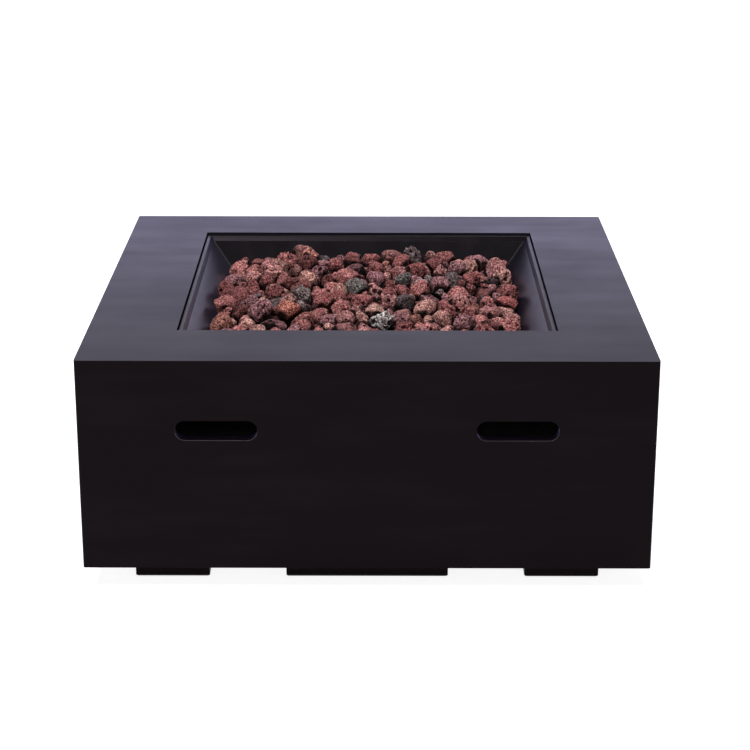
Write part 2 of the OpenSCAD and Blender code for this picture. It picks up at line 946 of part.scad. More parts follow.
module gas_jet() {
    color([0.78, 0.66, 0.36])
        translate([mixer_end_x, opening_shift, mixer_z])
            difference() {
                union() {
                    translate([-jet_l, 0, 0])
                        rod_x(jet_d, jet_l + over);
                    hex_x(jet_hex_d, jet_hex_l);
                }
                translate([-jet_l - over, 0, 0])
                    rod_x(jet_bore_d, jet_l + jet_hex_l);
                translate([jet_throat_l - jet_l, 0, 0])
                    rod_x(jet_feed_d, jet_l + jet_hex_l);
            }
}

module supply_pipe() {
    color([0.80, 0.52, 0.36])
        swept(smooth_path(pipe_points, path_steps), pipe_d, pipe_sides);
}

module supply_nuts() {
    color([0.78, 0.66, 0.36]) {
        translate([jet_end_x, opening_shift, mixer_z])
            pipe_nut();
        translate([valve_rear_x - pipe_nut_l, outlet_y, outlet_z])
            pipe_nut();
    }
}

module pipe_nut() {
    difference() {
        hex_x(pipe_nut_d, pipe_nut_l);
        translate([-over, 0, 0])
            rod_x(pipe_d + 2 * fixed_gap, pipe_nut_l + 2 * over);
    }
}

// ---- Gas valve and its controls ----

module gas_valve() {
    color([0.66, 0.62, 0.52])
        difference() {
            translate([valve_rear_x, knob_y - valve_w / 2, control_z - valve_h / 2])
                cube([valve_l, valve_w, valve_h]);
            translate([chamber_front_x - over, knob_y, control_z])
                rod_x(stem_d + 2 * run_gap, valve_l);
            translate([chamber_rear_x, knob_y, control_z])
                rod_x(chamber_d, chamber_front_x - chamber_rear_x);
            translate([rod_bore_x, knob_y, control_z])
                rod_x(rod_d + 2 * run_gap, chamber_rear_x - rod_bore_x + over);
            translate([valve_rear_x - over, outlet_y, outlet_z])
                rod_x(pipe_bore_d, outlet_bore_l + over);
            translate([valve_rear_x - over, couple_y, couple_z])
                rod_x(couple_bore_d, outlet_bore_l + over);
            translate([inlet_x, knob_y, control_z - valve_h / 2 - over])
                cylinder(d = inlet_spigot_d + 2 * fixed_gap, h = inlet_spigot_l + 2 * over);
            for (z = [-1, 1])
                translate([
                    plate_x - small_screw_l, knob_y + screw_spread, control_z + z * screw_spread])
                    rod_x(small_screw_d + 2 * fixed_gap, small_screw_l);
        }
}

module stem_flat_cut(l, flat) {
    translate([0, -stem_d, flat])
        cube([l, 2 * stem_d, stem_d]);
}

module valve_stem() {
    color([0.75, 0.75, 0.76])
        translate([stem_inner_x, knob_y, control_z])
            difference() {
                rod_x(stem_d, stem_tip_x - stem_inner_x);
                translate([knob_x - stem_inner_x, 0, 0])
                    stem_flat_cut(knob_bore_l + over, stem_flat);
            }
}

// The rod that the stem pushes to open the flame-failure valve
module valve_push_rod() {
    color([0.80, 0.72, 0.45])
        translate([0, knob_y, control_z]) {
            translate([rod_inner_x, 0, 0])
                rod_x(rod_d, stem_inner_x - rod_inner_x);
            translate([stem_inner_x - rod_collar_t, 0, 0])
                rod_x(rod_collar_d, rod_collar_t);
        }
}

module valve_spring() {
    l = stem_inner_x - rod_collar_t - chamber_rear_x - 2 * spring_end_gap;
    color([0.60, 0.61, 0.63])
        translate([chamber_rear_x + spring_end_gap, knob_y, control_z])
            coil(valve_spring_r, l, valve_spring_turns);
}

module valve_screws() {
    color([0.70, 0.70, 0.72])
        for (z = [-1, 1])
            translate([plate_x, knob_y + screw_spread, control_z + z * screw_spread])
                rotate([0, 90, 0])
                    screw(small_screw_d, small_screw_l, small_head_d, bezel_t);
}

module inlet_fitting() {
    color([0.78, 0.66, 0.36])
        translate([inlet_x, knob_y, inlet_hex_z])
            difference() {
                union() {
                    cylinder(d = inlet_hex_d, h = inlet_hex_l, $fn = 6);
                    translate([0, 0, inlet_hex_l - over])
                        cylinder(d = inlet_spigot_d, h = inlet_spigot_l + over);
                    translate([0, 0, -inlet_thread_l])
                        cylinder(d = inlet_thread_d, h = inlet_thread_l + over);
                    translate([0, 0, -inlet_thread_l - inlet_cone_l])
                        cylinder(d1 = inlet_cone_d, d2 = inlet_thread_d, h = inlet_cone_l);
                }
                translate([0, 0, -inlet_thread_l - inlet_cone_l - over])
                    cylinder(d = inlet_bore_d, h = inlet_l + 2 * over);
            }
}

module at_box_screws() {
    dy = control_w / 2 + flange_w / 2;
    dz = control_h / 2 + flange_w / 2;
    for (y = [-1, 1], z = [-1, 1])
        translate([flange_x, y * dy, control_z + z * dz])
            rotate([0, 90, 0])
                children();
}

// Folded box with an outside flange, open to the right
module control_box() {
    out_w = control_w + 2 * sheet_t;
    out_h = control_h + 2 * sheet_t;
    color([0.66, 0.66, 0.67])
        difference() {
            union() {
                translate([plate_back_x, -out_w / 2, control_z - out_h / 2])
                    cube([flange_x - plate_back_x + sheet_t, out_w, out_h]);
                translate([flange_x, -control_w / 2 - flange_w, control_z - control_h / 2 - flange_w])
                    cube([sheet_t, control_w + 2 * flange_w, control_h + 2 * flange_w]);
            }
            translate([plate_x, -control_w / 2, control_z - control_h / 2])
                cube([control_recess + over, control_w, control_h]);
            translate([plate_back_x - over, knob_y, control_z])
                rod_x(stem_hole_d, sheet_t + 2 * over);
            for (z = [-1, 1])
                translate([plate_back_x - over, knob_y + screw_spread, control_z + z * screw_spread])
                    rod_x(small_screw_d + 2 * fixed_gap, sheet_t + 2 * over);
            translate([plate_back_x - over, igniter_y, control_z])
                rod_x(housing_d + 2 * fixed_gap, sheet_t + 2 * over);
            at_box_screws()
                translate([0, 0, -over])
                    cylinder(d = small_screw_d + 2 * fixed_gap, h = sheet_t + 2 * over);
            at_rivets()
                translate([0, 0, -sheet_t - over])
                    cylinder(d = rivet_d + 2 * fixed_gap, h = sheet_t + 2 * over);
        }
}

module control_box_screws() {
    color([0.74, 0.74, 0.75])
        at_box_screws()
            translate([0, 0, sheet_t])
                screw(small_screw_d, box_screw_l, small_head_d, small_head_h);
}

// A dial plate under the knob, with a plain raised mark at each setting
module knob_bezel() {
    color([0.20, 0.20, 0.21])
        translate([plate_x, knob_y, control_z])
            difference() {
                union() {
                    rod_x(bezel_d, bezel_t);
                    for (a = [0, 90, 180])
                        rotate([a, 0, 0])
                            translate([bezel_t - mark_h, -mark_w / 2, bezel_d / 2 - mark_edge - mark_l])
                                cube([2 * mark_h, mark_w, mark_l]);
                }
                translate([-over, 0, 0])
                    rod_x(bezel_hole_d, bezel_t + 2 * over);
                // Room for the heads of the valve's screws
                for (z = [-1, 1])
                    translate([-over, screw_spread, z * screw_spread])
                        rod_x(small_head_d + 2 * drop_gap, bezel_t + 2 * over);
            }
}

// Skirted knob with finger flutes and a pointer groove, bored with a flat for the stem
module control_knob() {
    grip_d = knob_d - 2 * skirt_w;
    color([0.08, 0.08, 0.08])
        translate([knob_x, knob_y, control_z])
            difference() {
                union() {
                    rod_x(knob_d, skirt_l);
                    rod_x(grip_d, knob_l);
                }
                for (i = [0:flute_count - 1])
                    rotate([(i + 0.5) * 360 / flute_count, 0, 0])
                        translate([skirt_l, 0, grip_d / 2 + flute_d / 2 - flute_sink])
                            rod_x(flute_d, knob_l);
                translate([knob_l - pointer_t, -pointer_w / 2, pointer_in])
                    cube([pointer_t + over, pointer_w, grip_d]);
                difference() {
                    translate([-over, 0, 0])
                        rod_x(stem_d + 2 * run_gap, knob_bore_l + over);
                    translate([-2 * over, 0, 0])
                        stem_flat_cut(knob_bore_l + 3 * over, stem_flat + run_gap);
                }
            }
}

module igniter_housing() {
    color([0.10, 0.10, 0.10])
        translate([0, igniter_y, control_z])
            difference() {
                union() {
                    translate([housing_rear_x, 0, 0])
                        rod_x(housing_d, plate_x - housing_rear_x + over);
                    translate([plate_x, 0, 0])
                        rod_x(bezel_ring_d, bezel_ring_t);
                }
                translate([housing_rear_x - over, 0, 0])
                    rod_x(chamber_bore_d, collar_x - housing_rear_x + over);
                translate([collar_x - over, 0, 0])
                    rod_x(button_d + 2 * run_gap, button_guide_l + 2 * over);
            }
}

module igniter_nut() {
    color([0.70, 0.70, 0.72])
        translate([plate_back_x - igniter_nut_t, igniter_y, control_z])
            difference() {
                hex_x(igniter_nut_d, igniter_nut_t);
                translate([-over, 0, 0])
                    rod_x(housing_d + 2 * fixed_gap, igniter_nut_t + 2 * over);
            }
}

module igniter_button() {
    color([0.75, 0.10, 0.08])
        translate([0, igniter_y, control_z]) {
            translate([collar_x - button_collar_t, 0, 0])
                rod_x(button_d, button_collar_t + button_guide_l + button_travel);
            translate([collar_x - button_collar_t, 0, 0])
                rod_x(button_collar_d, button_collar_t);
        }
}

module igniter_spring() {
    l = igniter_spring_l - 2 * spring_end_gap;
    color([0.60, 0.61, 0.63])
        translate([battery_x + battery_l + spring_end_gap, igniter_y, control_z])
            coil(igniter_spring_r, l, igniter_spring_turns);
}

module igniter_battery() {
    color([0.35, 0.40, 0.42])
        translate([battery_x, igniter_y, control_z]) {
            rod_x(battery_d, battery_l - battery_tip_l);
            rod_x(battery_tip_d, battery_l);
        }
}

module igniter_end_cap() {
    color([0.10, 0.10, 0.10])
        translate([end_cap_x, igniter_y, control_z])
            rod_x(housing_d, end_cap_t);
}

module ignition_lead() {
    color([0.45, 0.08, 0.08])
        swept(smooth_path(lead_points, path_steps), lead_d, lead_sides);
}

// ---- Pilot group and heat shield ----

module at_pilot_screws() {
    for (y = [-1, 1])
        translate([pilot_x, pilot_y + y * pilot_screw_y, 0])
            children();
}

module electrode_ceramic() {
    color([0.92, 0.90, 0.86])
        translate([pilot_x, electrode_y, bowl_floor_z])
            difference() {
                union() {
                    translate([0, 0, -ceramic_down])
                        cylinder(d = ceramic_d, h = ceramic_down + ceramic_up);
                    translate([0, 0, pilot_plate_t])
                        cylinder(d = ceramic_d + collar_extra, h = collar_h);
                }
                translate([0, 0, -ceramic_down - over])
                    cylinder(d = pin_d + 2 * fixed_gap, h = ceramic_down + ceramic_up + 2 * over);
            }
}

module electrode_pin() {
    color([0.70, 0.70, 0.70])
        translate([pilot_x, electrode_y, bowl_floor_z - pin_down])
            cylinder(d = pin_d, h = pin_down + pin_up);
}

module thermocouple() {
    color([0.76, 0.72, 0.66])
        translate([pilot_x, couple_tip_y, bowl_floor_z]) {
            translate([0, 0, -probe_down])
                cylinder(d = probe_d, h = probe_down + probe_up);
            translate([0, 0, pilot_plate_t])
                cylinder(d = probe_d + collar_extra, h = collar_h);
        }
}

module thermocouple_nut() {
    color([0.78, 0.66, 0.36])
        translate([valve_rear_x - couple_l, couple_y, couple_z])
            difference() {
                hex_x(couple_nut_d, couple_l);
                translate([-over, 0, 0])
                    rod_x(couple_lead_d + 2 * fixed_gap, couple_l / 2 + over);
            }
}

module thermocouple_lead() {
    color([0.80, 0.52, 0.36])
        swept(smooth_path(couple_points, path_steps), couple_lead_d, lead_sides);
}

module pilot_bracket() {
    color([0.70, 0.70, 0.71])
        difference() {
            translate([pilot_x, pilot_y, bowl_floor_z])
                block(pilot_plate_w, pilot_plate_l, pilot_plate_t);
            translate([pilot_x, electrode_y, bowl_floor_z - over])
                cylinder(d = ceramic_d + 2 * fixed_gap, h = pilot_plate_t + 2 * over);
            translate([pilot_x, couple_tip_y, bowl_floor_z - over])
                cylinder(d = probe_d + 2 * fixed_gap, h = pilot_plate_t + 2 * over);
            at_pilot_screws()
                translate([0, 0, bowl_floor_z - over])
                    cylinder(d = small_screw_d + 2 * fixed_gap, h = pilot_plate_t + 2 * over);
        }
}

// Bent strip that keeps rocks off the spark gap and the probe
module flame_hood() {
    foot_l = pilot_plate_l / 2 - hood_half_l;
    color([0.60, 0.60, 0.61])
        difference() {
            translate([pilot_x, pilot_y, bowl_floor_z + pilot_plate_t]) {
                translate([-hood_w / 2, -hood_half_l, hood_h - hood_t])
                    cube([hood_w, 2 * hood_half_l, hood_t]);
                for (s = [0, 180])
                    rotate([0, 0, s]) {
                        translate([-hood_w / 2, hood_half_l - hood_t, 0])
                            cube([hood_w, hood_t, hood_h]);
                        translate([-hood_w / 2, hood_half_l - hood_t, 0])
                            cube([hood_w, foot_l + hood_t, hood_t]);
                    }
            }
            at_pilot_screws()
                translate([0, 0, bowl_floor_z + pilot_plate_t - over])
                    cylinder(d = small_screw_d + 2 * fixed_gap, h = hood_t + 2 * over);
        }
}

module pilot_screws() {
    color([0.70, 0.70, 0.72])
        at_pilot_screws()
            translate([0, 0, bowl_floor_z + pilot_plate_t + hood_t])
                screw(small_screw_d, pilot_screw_l, small_head_d, small_head_h);
}

module at_rivets() {
    for (y = [-1, 1])
        translate([rivet_x, y * rivet_y, shield_z])
            children();
}

module heat_shield() {
    shield_x = face_x - wall_t - drop_gap;
    shield_w = control_w;
    color([0.80, 0.81, 0.82])
        difference() {
            union() {
                translate([plate_back_x - shield_in, -shield_w / 2, shield_z])
                    cube([shield_x - plate_back_x + shield_in, shield_w, shield_t]);
                translate([plate_back_x - shield_in, -shield_w / 2, shield_z - shield_lip])
                    cube([shield_t, shield_w, shield_lip + shield_t]);
            }
            at_rivets()
                translate([0, 0, -over])
                    cylinder(d = rivet_d + 2 * fixed_gap, h = shield_t + 2 * over);
        }
}

module shield_rivets() {
    color([0.74, 0.74, 0.75])
        at_rivets() {
            translate([0, 0, shield_t])
                cylinder(d = rivet_head_d, h = rivet_head_t);
            translate([0, 0, -sheet_t])
                cylinder(d = rivet_d, h = sheet_t + shield_t + rivet_head_t);
        }
}

// ---- Grate and rocks ----

grate_out_x = bowl_half(bowl_x, grate_z) - grate_gap;
grate_out_y = bowl_half(bowl_y, grate_z) - grate_gap;
grate_in_x = grate_out_x - grate_border;
grate_in_y = grate_out_y - grate_border;
bar_side_count = floor(grate_in_x / bar_pitch);

// Frame whose edges lean like the bowl's walls, bars front to back, two ties underneath
module rock_grate() {
    lean = bar_t / bowl_slope;
    color([0.12, 0.12, 0.12])
        translate([0, opening_shift, 0])
            union() {
                difference() {
                    tapered_block(
                        [grate_out_x, grate_out_y], grate_z,
                        [grate_out_x + lean, grate_out_y + lean], grate_top_z);
                    translate([0, 0, grate_z - over])
                        block(2 * grate_in_x, 2 * grate_in_y, bar_t + 2 * over);
                }
                for (i = [-bar_side_count:bar_side_count])
                    translate([i * bar_pitch, 0, grate_z])
                        block(bar_w, 2 * grate_in_y + 2 * over, bar_t);
                for (y = [-1, 1])
                    translate([0, y * tie_y, grate_z])
                        block(2 * grate_in_x + 2 * over, bar_w, tie_top_z - grate_z);
            }
}

// Lowest height of a rock's middle where it meets the grate's bars, ties and frame, and the slopes
function edge_rest(top, gap, r) = gap < r ? top + sqrt(pow(r + rock_gap, 2) - pow(max(0, gap), 2)) : 0;
function bar_rest(x, r) =
    edge_rest(grate_top_z, abs(x - bar_pitch * round(x / bar_pitch)) - bar_w / 2, r);
function tie_rest(y, r) = edge_rest(tie_top_z, abs(abs(y) - tie_y) - bar_w / 2, r);
function frame_rest(x, inner, r) = edge_rest(grate_top_z, inner - abs(x), r);
function slope_rest(x, rim_half, r) =
    rim_z + bowl_slope * (abs(x) + (r + rock_gap) / sin(bowl_angle) - rim_half);
function pile_rest(x, y, r, rocks) = [
    for (q = rocks)
        let (reach = r + q[3] + rock_gap, d2 = pow(q[0] - x, 2) + pow(q[1] - y, 2))
            if (d2 < reach * reach) q[2] + sqrt(reach * reach - d2)];
function rock_at(x, y, r, rocks) = [x, y,
    max(concat(
        [bar_rest(x, r), tie_rest(y, r), frame_rest(x, grate_in_x, r), frame_rest(y, grate_in_y, r),
            slope_rest(x, bowl_x, r), slope_rest(y, bowl_y, r)],
        pile_rest(x, y, r, rocks))), r];

// The heap's outline: level at the bed's edge, raised towards a point left of and behind the middle
function heap_share(p, middle, reach) =
    1 - pow(min(1, abs(p - middle) / (reach + (p < middle ? middle : -middle))), heap_power);
function heap_z(x, y) =
    bed_z + mound_h * heap_share(x, heap_x, rock_reach_x) * heap_share(y, heap_y, rock_reach_y);
function excess(q) = q[2] + q[3] - heap_z(q[0], q[1]);
function lowest(list, i = 0, best = 0) =
    i >= len(list) ? list[best] : lowest(list, i + 1, excess(list[i]) < excess(list[best]) ? i : best);

// A rock rolls to a lower place beside it, in ever smaller steps, until there is none
function beside(q, step, rocks) = lowest(concat([q], [
    for (a = [0:45:315])
        rock_at(q[0] + step * cos(a), q[1] + step * sin(a), q[3], rocks)]));
function rolled(q, step, rocks) =
    step < roll_end ? q : let (next = beside(q, step, rocks))
        next == q ? rolled(q, step / 2, rocks) : rolled(next, step, rocks);
function near(q, rocks) = [
    for (o = rocks)
        if (max(abs(o[0] - q[0]), abs(o[1] - q[1])) < roll_reach * rock_r_max) o];

// Each rock is dropped at several places, and rolls from the one furthest below the heap's outline
function dropped(r, xs, ys, rocks) = let (
        first = lowest([for (k = [0:len(xs) - 1]) rock_at(xs[k], ys[k], r, rocks)]),
        last = rolled(first, roll_start, near(first, rocks)))
    rock_at(last[0], last[1], r, rocks);
function slice(list, i) = [for (k = [0:rock_tries - 1]) list[i * rock_tries + k]];
function pour(sizes, xs, ys, i = 0, rocks = []) =
    i >= len(sizes) ? rocks
    : let (rock = dropped(sizes[i], slice(xs, i), slice(ys, i), rocks))
        pour(sizes, xs, ys, i + 1,
            excess(rock) < rock_rise && rock[2] + rock[3] < ceiling_z ? concat(rocks, [rock]) : rocks);

module lava_rocks() {
    sizes = rands(rock_r_min, rock_r_max, rock_count, rock_seed);
    xs = rands(-rock_reach_x, rock_reach_x, rock_count * rock_tries, rock_seed + 1);
    ys = rands(-rock_reach_y, rock_reach_y, rock_count * rock_tries, rock_seed + 2);
    color([0.45, 0.24, 0.21])
        translate([0, opening_shift, 0])
            for (q = pour(sizes, xs, ys))
                translate([q[0], q[1], q[2]])
                    sphere(q[3]);
}

casing();
base_panel();
foot_front_left();
foot_front_middle();
foot_front_right();
foot_rear_left();
foot_rear_middle();
foot_rear_right();
foot_screws();
base_brackets();
bracket_screws();
rim_seal();
fire_bowl_floor();
fire_bowl_sides();
fire_bowl_rim();
ring_burner();
burner_locknut();
burner_elbow();
mixer_tube();
air_shutter();
gas_jet();
supply_pipe();
supply_nuts();
gas_valve();
valve_stem();
valve_push_rod();
valve_spring();
valve_screws();
inlet_fitting();
control_box();
control_box_screws();
knob_bezel();
control_knob();
igniter_housing();
igniter_nut();
igniter_button();
igniter_spring();
igniter_battery();
igniter_end_cap();
ignition_lead();
electrode_ceramic();
electrode_pin();
thermocouple();
thermocouple_nut();
thermocouple_lead();
pilot_bracket();
flame_hood();
pilot_screws();
heat_shield();
shield_rivets();
rock_grate();
lava_rocks();
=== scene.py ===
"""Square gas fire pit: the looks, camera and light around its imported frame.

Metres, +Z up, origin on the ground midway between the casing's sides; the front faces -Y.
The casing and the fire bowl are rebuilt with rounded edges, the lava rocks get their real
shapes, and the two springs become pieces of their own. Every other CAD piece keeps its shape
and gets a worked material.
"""
import json
import math

import bmesh
import bpy
import numpy as np
from mathutils import Matrix, Vector


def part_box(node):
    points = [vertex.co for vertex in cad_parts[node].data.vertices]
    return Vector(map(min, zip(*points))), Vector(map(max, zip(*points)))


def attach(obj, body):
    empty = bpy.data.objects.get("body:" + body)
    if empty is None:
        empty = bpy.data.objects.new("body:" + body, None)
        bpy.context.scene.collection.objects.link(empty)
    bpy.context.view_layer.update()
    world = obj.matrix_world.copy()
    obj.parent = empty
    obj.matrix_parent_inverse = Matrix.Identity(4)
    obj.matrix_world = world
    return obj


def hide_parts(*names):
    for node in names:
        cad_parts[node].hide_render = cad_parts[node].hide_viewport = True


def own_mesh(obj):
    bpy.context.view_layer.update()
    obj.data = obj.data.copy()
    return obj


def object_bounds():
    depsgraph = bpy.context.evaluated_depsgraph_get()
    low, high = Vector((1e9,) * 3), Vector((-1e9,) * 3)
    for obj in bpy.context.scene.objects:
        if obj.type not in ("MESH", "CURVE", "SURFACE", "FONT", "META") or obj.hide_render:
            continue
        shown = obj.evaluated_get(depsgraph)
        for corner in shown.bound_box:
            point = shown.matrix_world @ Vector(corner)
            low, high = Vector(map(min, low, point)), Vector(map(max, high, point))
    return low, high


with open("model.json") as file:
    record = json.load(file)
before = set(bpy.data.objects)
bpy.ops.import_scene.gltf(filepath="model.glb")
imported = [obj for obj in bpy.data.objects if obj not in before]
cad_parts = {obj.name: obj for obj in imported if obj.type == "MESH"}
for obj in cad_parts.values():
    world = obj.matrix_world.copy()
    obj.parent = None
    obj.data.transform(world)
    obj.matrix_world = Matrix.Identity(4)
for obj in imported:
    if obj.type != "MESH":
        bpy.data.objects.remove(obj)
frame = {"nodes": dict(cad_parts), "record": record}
cad_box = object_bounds()
NODES = frame["nodes"]
ROOT = "fire_pit"


# ---- Materials ----

class Paint:
    """One Principled material and the nodes that drive it."""

    def __init__(self, name, color=(0.5, 0.5, 0.5), rough=0.5, metal=0.0, ior=1.5):
        self.material = bpy.data.materials.new(name)
        self.material.use_nodes = True
        self.tree = self.material.node_tree
        self.shader = self.tree.nodes["Principled BSDF"]
        self.shader.inputs["Base Color"].default_value = (*color, 1.0)
        self.shader.inputs["Roughness"].default_value = rough
        self.shader.inputs["Metallic"].default_value = metal
        self.shader.inputs["IOR"].default_value = ior
        self.places = {}

    def node(self, kind, inputs=None, **settings):
        """A new node; an input's value is a number, a vector or another node's output."""
        made = self.tree.nodes.new("ShaderNode" + kind)
        for key, value in settings.items():
            setattr(made, key, value)
        for key, value in (inputs or {}).items():
            self.feed(made.inputs[key], value)
        return made

    def feed(self, socket, value):
        if isinstance(value, bpy.types.NodeSocket):
            self.tree.links.new(value, socket)
        else:
            socket.default_value = value

    def where(self, stretch=(1, 1, 1)):
        """Object coordinates in metres, scaled along each axis."""
        if stretch not in self.places:
            source = self.node("TexCoord").outputs["Object"]
            moved = self.node("Mapping", {"Vector": source, "Scale": stretch})
            self.places[stretch] = moved.outputs["Vector"]
        return self.places[stretch]

    def noise(self, size, detail=4, rough=0.55, stretch=(1, 1, 1)):
        """Soft noise whose blobs are about `size` metres across, from 0 to 1."""
        made = self.node("TexNoise", {
            "Vector": self.where(stretch), "Scale": 1 / size, "Detail": detail, "Roughness": rough})
        return made.outputs["Fac"]

    def cells(self, size):
        """Distance to the middles of cells about `size` metres across."""
        made = self.node("TexVoronoi", {"Vector": self.where(), "Scale": 1 / size}, feature="F1")
        return made.outputs["Distance"]

    def between(self, value, low, high, out_low=0.0, out_high=1.0):
        """Maps low..high to out_low..out_high, held at both ends."""
        made = self.node("MapRange", {
            "Value": value, "From Min": low, "From Max": high,
            "To Min": out_low, "To Max": out_high})
        return made.outputs["Result"]

    def math(self, operation, a, b=0.0):
        made = self.node("Math", operation=operation)
        self.feed(made.inputs[0], a)
        self.feed(made.inputs[1], b)
        return made.outputs["Value"]

    def mix(self, share, a, b, blend="MIX"):
        """Colour a turned into colour b by share."""
        made = self.node("Mix", data_type="RGBA", blend_type=blend)
        self.feed(made.inputs["Factor"], share)
        # The Mix node's sockets for colours, which share their names with those for numbers
        first, second, result = made.inputs[6], made.inputs[7], made.outputs[2]
        for socket, value in ((first, a), (second, b)):
            self.feed(socket, value if isinstance(value, bpy.types.NodeSocket) else (*value, 1.0))
        return result

    def color(self, value):
        self.feed(self.shader.inputs["Base Color"], value)
        return self

    def rough(self, value):
        self.feed(self.shader.inputs["Roughness"], value)
        return self

    def bump(self, *layers):
        """Layers of (height, depth in metres), added together."""
        normal = None
        for height, depth in layers:
            made = self.node("Bump", {"Height": height, "Distance": depth, "Strength": 1.0})
            if normal is not None:
                self.feed(made.inputs["Normal"], normal)
            normal = made.outputs["Normal"]
        self.feed(self.shader.inputs["Normal"], normal)
        return self


def casing_paint():
    """Cast fibre concrete under a dark satin coat: faint streaks, cloudy gloss, a few pinholes."""
    paint = Paint("cast_satin_black", rough=0.38, ior=1.145)
    paint.shader.inputs["Specular Tint"].default_value = (1.0, 0.80, 0.90, 1.0)
    paint.shader.inputs["Sheen Weight"].default_value = 0.27
    paint.shader.inputs["Sheen Roughness"].default_value = 0.28
    paint.shader.inputs["Sheen Tint"].default_value = (0.50, 0.43, 1.0, 1.0)
    clouds = paint.noise(0.16, detail=5)
    streaks = paint.noise(0.05, detail=3, stretch=(0.2, 1, 1))
    shade = paint.mix(clouds, (0.0008, 0.0002, 0.0005), (0.0018, 0.0007, 0.0011))
    shade = paint.mix(paint.between(streaks, 0.45, 0.75, 0.0, 0.5), shade, (0.006, 0.0045, 0.006))
    gloss = paint.math("ADD", paint.between(clouds, 0.3, 0.7, 0.31, 0.38),
                       paint.between(streaks, 0.4, 0.7, -0.02, 0.04))
    pinholes = paint.between(paint.cells(0.011), 0.0, 0.06, 0.0, 1.0)
    grain = paint.noise(0.0016, detail=3)
    return paint.color(shade).rough(gloss).bump(
        (paint.noise(0.22, detail=2), 0.0011), (grain, 0.00003), (pinholes, 0.00012)).material


def casing_edge_paint(name, low, high):
    """A dull colour with no specular for edges of the casing: worn coat with a painted highlight on
    the lower slot lips, painted shade on the opening's walls.
    """
    paint = Paint(name, rough=0.6)
    paint.shader.inputs["Specular IOR Level"].default_value = 0.0
    clouds = paint.noise(0.02, detail=5)
    return paint.color(paint.mix(clouds, low, high)).bump(
        (paint.noise(0.0016, detail=3), 0.0001)).material


def weld_paint():
    """A weld bead whose dull black coat is a little worn."""
    paint = Paint("worn_weld", rough=0.6)
    paint.shader.inputs["Specular IOR Level"].default_value = 0.2
    wear = paint.noise(0.006, detail=4)
    return paint.color(paint.mix(wear, (0.006, 0.005, 0.006), (0.024, 0.020, 0.024))).bump(
        (wear, 0.0002)).material


def bowl_paint(name="powder_coat_black", ior=1.18, sheen=0.17):
    """Powder coat on folded sheet: a fine orange-peel skin and light smears from the rocks."""
    paint = Paint(name, rough=0.27, ior=ior)
    paint.shader.inputs["Specular Tint"].default_value = (1.0, 0.86, 1.0, 1.0)
    paint.shader.inputs["Sheen Weight"].default_value = sheen
    paint.shader.inputs["Sheen Roughness"].default_value = 0.25
    paint.shader.inputs["Sheen Tint"].default_value = (0.62, 0.55, 1.0, 1.0)
    smears = paint.noise(0.05, detail=5, stretch=(1, 1, 0.5))
    shade = paint.mix(paint.between(smears, 0.45, 0.8, 0.0, 1.0),
                      (0.0008, 0.0005, 0.0012), (0.0034, 0.0022, 0.0034))
    peel = paint.noise(0.0025, detail=2)
    return paint.color(shade).rough(paint.between(smears, 0.35, 0.75, 0.28, 0.37)).bump(
        (peel, 0.000012), (paint.noise(0.14, detail=1), 0.0004)).material


def metal_paint(name, color, rough, brush=None, grain=0.0008):
    """Bare metal; `brush` is the axis along which its finish runs."""
    paint = Paint(name, color=color, rough=rough, metal=1.0)
    stretch = tuple(0.02 if axis == brush else 1.0 for axis in "xyz") if brush else (1, 1, 1)
    lines = paint.noise(grain, detail=3, stretch=stretch)
    stains = paint.noise(0.03, detail=4)
    dull = tuple(0.72 * c for c in color)
    shade = paint.mix(paint.between(stains, 0.4, 0.75, 0.0, 0.7), color, dull)
    spread = paint.math("ADD", paint.between(lines, 0.3, 0.7, rough - 0.06, rough + 0.08),
                        paint.between(stains, 0.4, 0.8, 0.0, 0.12))
    return paint.color(shade).rough(spread).bump((lines, 0.00002)).material


def moulded_paint(name, color, rough):
    """Moulded plastic, rubber or enamel with a fine grain."""
    paint = Paint(name, color=color, rough=rough)
    clouds = paint.noise(0.012, detail=4)
    lighter = tuple(min(1.0, c * 1.25 + 0.004) for c in color)
    shade = paint.mix(paint.between(clouds, 0.35, 0.75, 0.0, 0.8), color, lighter)
    spread = paint.between(clouds, 0.3, 0.7, rough - 0.05, rough + 0.06)
    return paint.color(shade).rough(spread).bump(
        (paint.noise(0.0006, detail=2), 0.00003)).material


def mineral_paint(name, color, rough, size, depth):
    """Board, woven seal or ceramic: mottled, with a soft grain."""
    paint = Paint(name, color=color, rough=rough)
    clouds = paint.noise(size * 8, detail=6)
    grain = paint.noise(size, detail=4)
    darker = tuple(0.7 * c for c in color)
    lighter = tuple(min(1, 1.2 * c) for c in color)
    shade = paint.mix(paint.between(clouds, 0.35, 0.7, 0.0, 1.0), color, darker)
    shade = paint.mix(paint.between(grain, 0.55, 0.8, 0.0, 0.4), shade, lighter)
    spread = paint.between(grain, 0.3, 0.7, rough - 0.06, rough + 0.06)
    return paint.color(shade).rough(spread).bump((grain, depth)).material


def grate_paint():
    """Heat-blackened bar steel with rust in its hollows."""
    paint = Paint("scaled_steel", rough=0.7, metal=0.35)
    rust = paint.noise(0.02, detail=7, rough=0.7)
    shade = paint.mix(paint.between(rust, 0.52, 0.68), (0.020, 0.018, 0.017), (0.10, 0.042, 0.020))
    return paint.color(shade).rough(paint.between(rust, 0.4, 0.7, 0.55, 0.85)).bump(
        (paint.noise(0.002, detail=5), 0.0002)).material


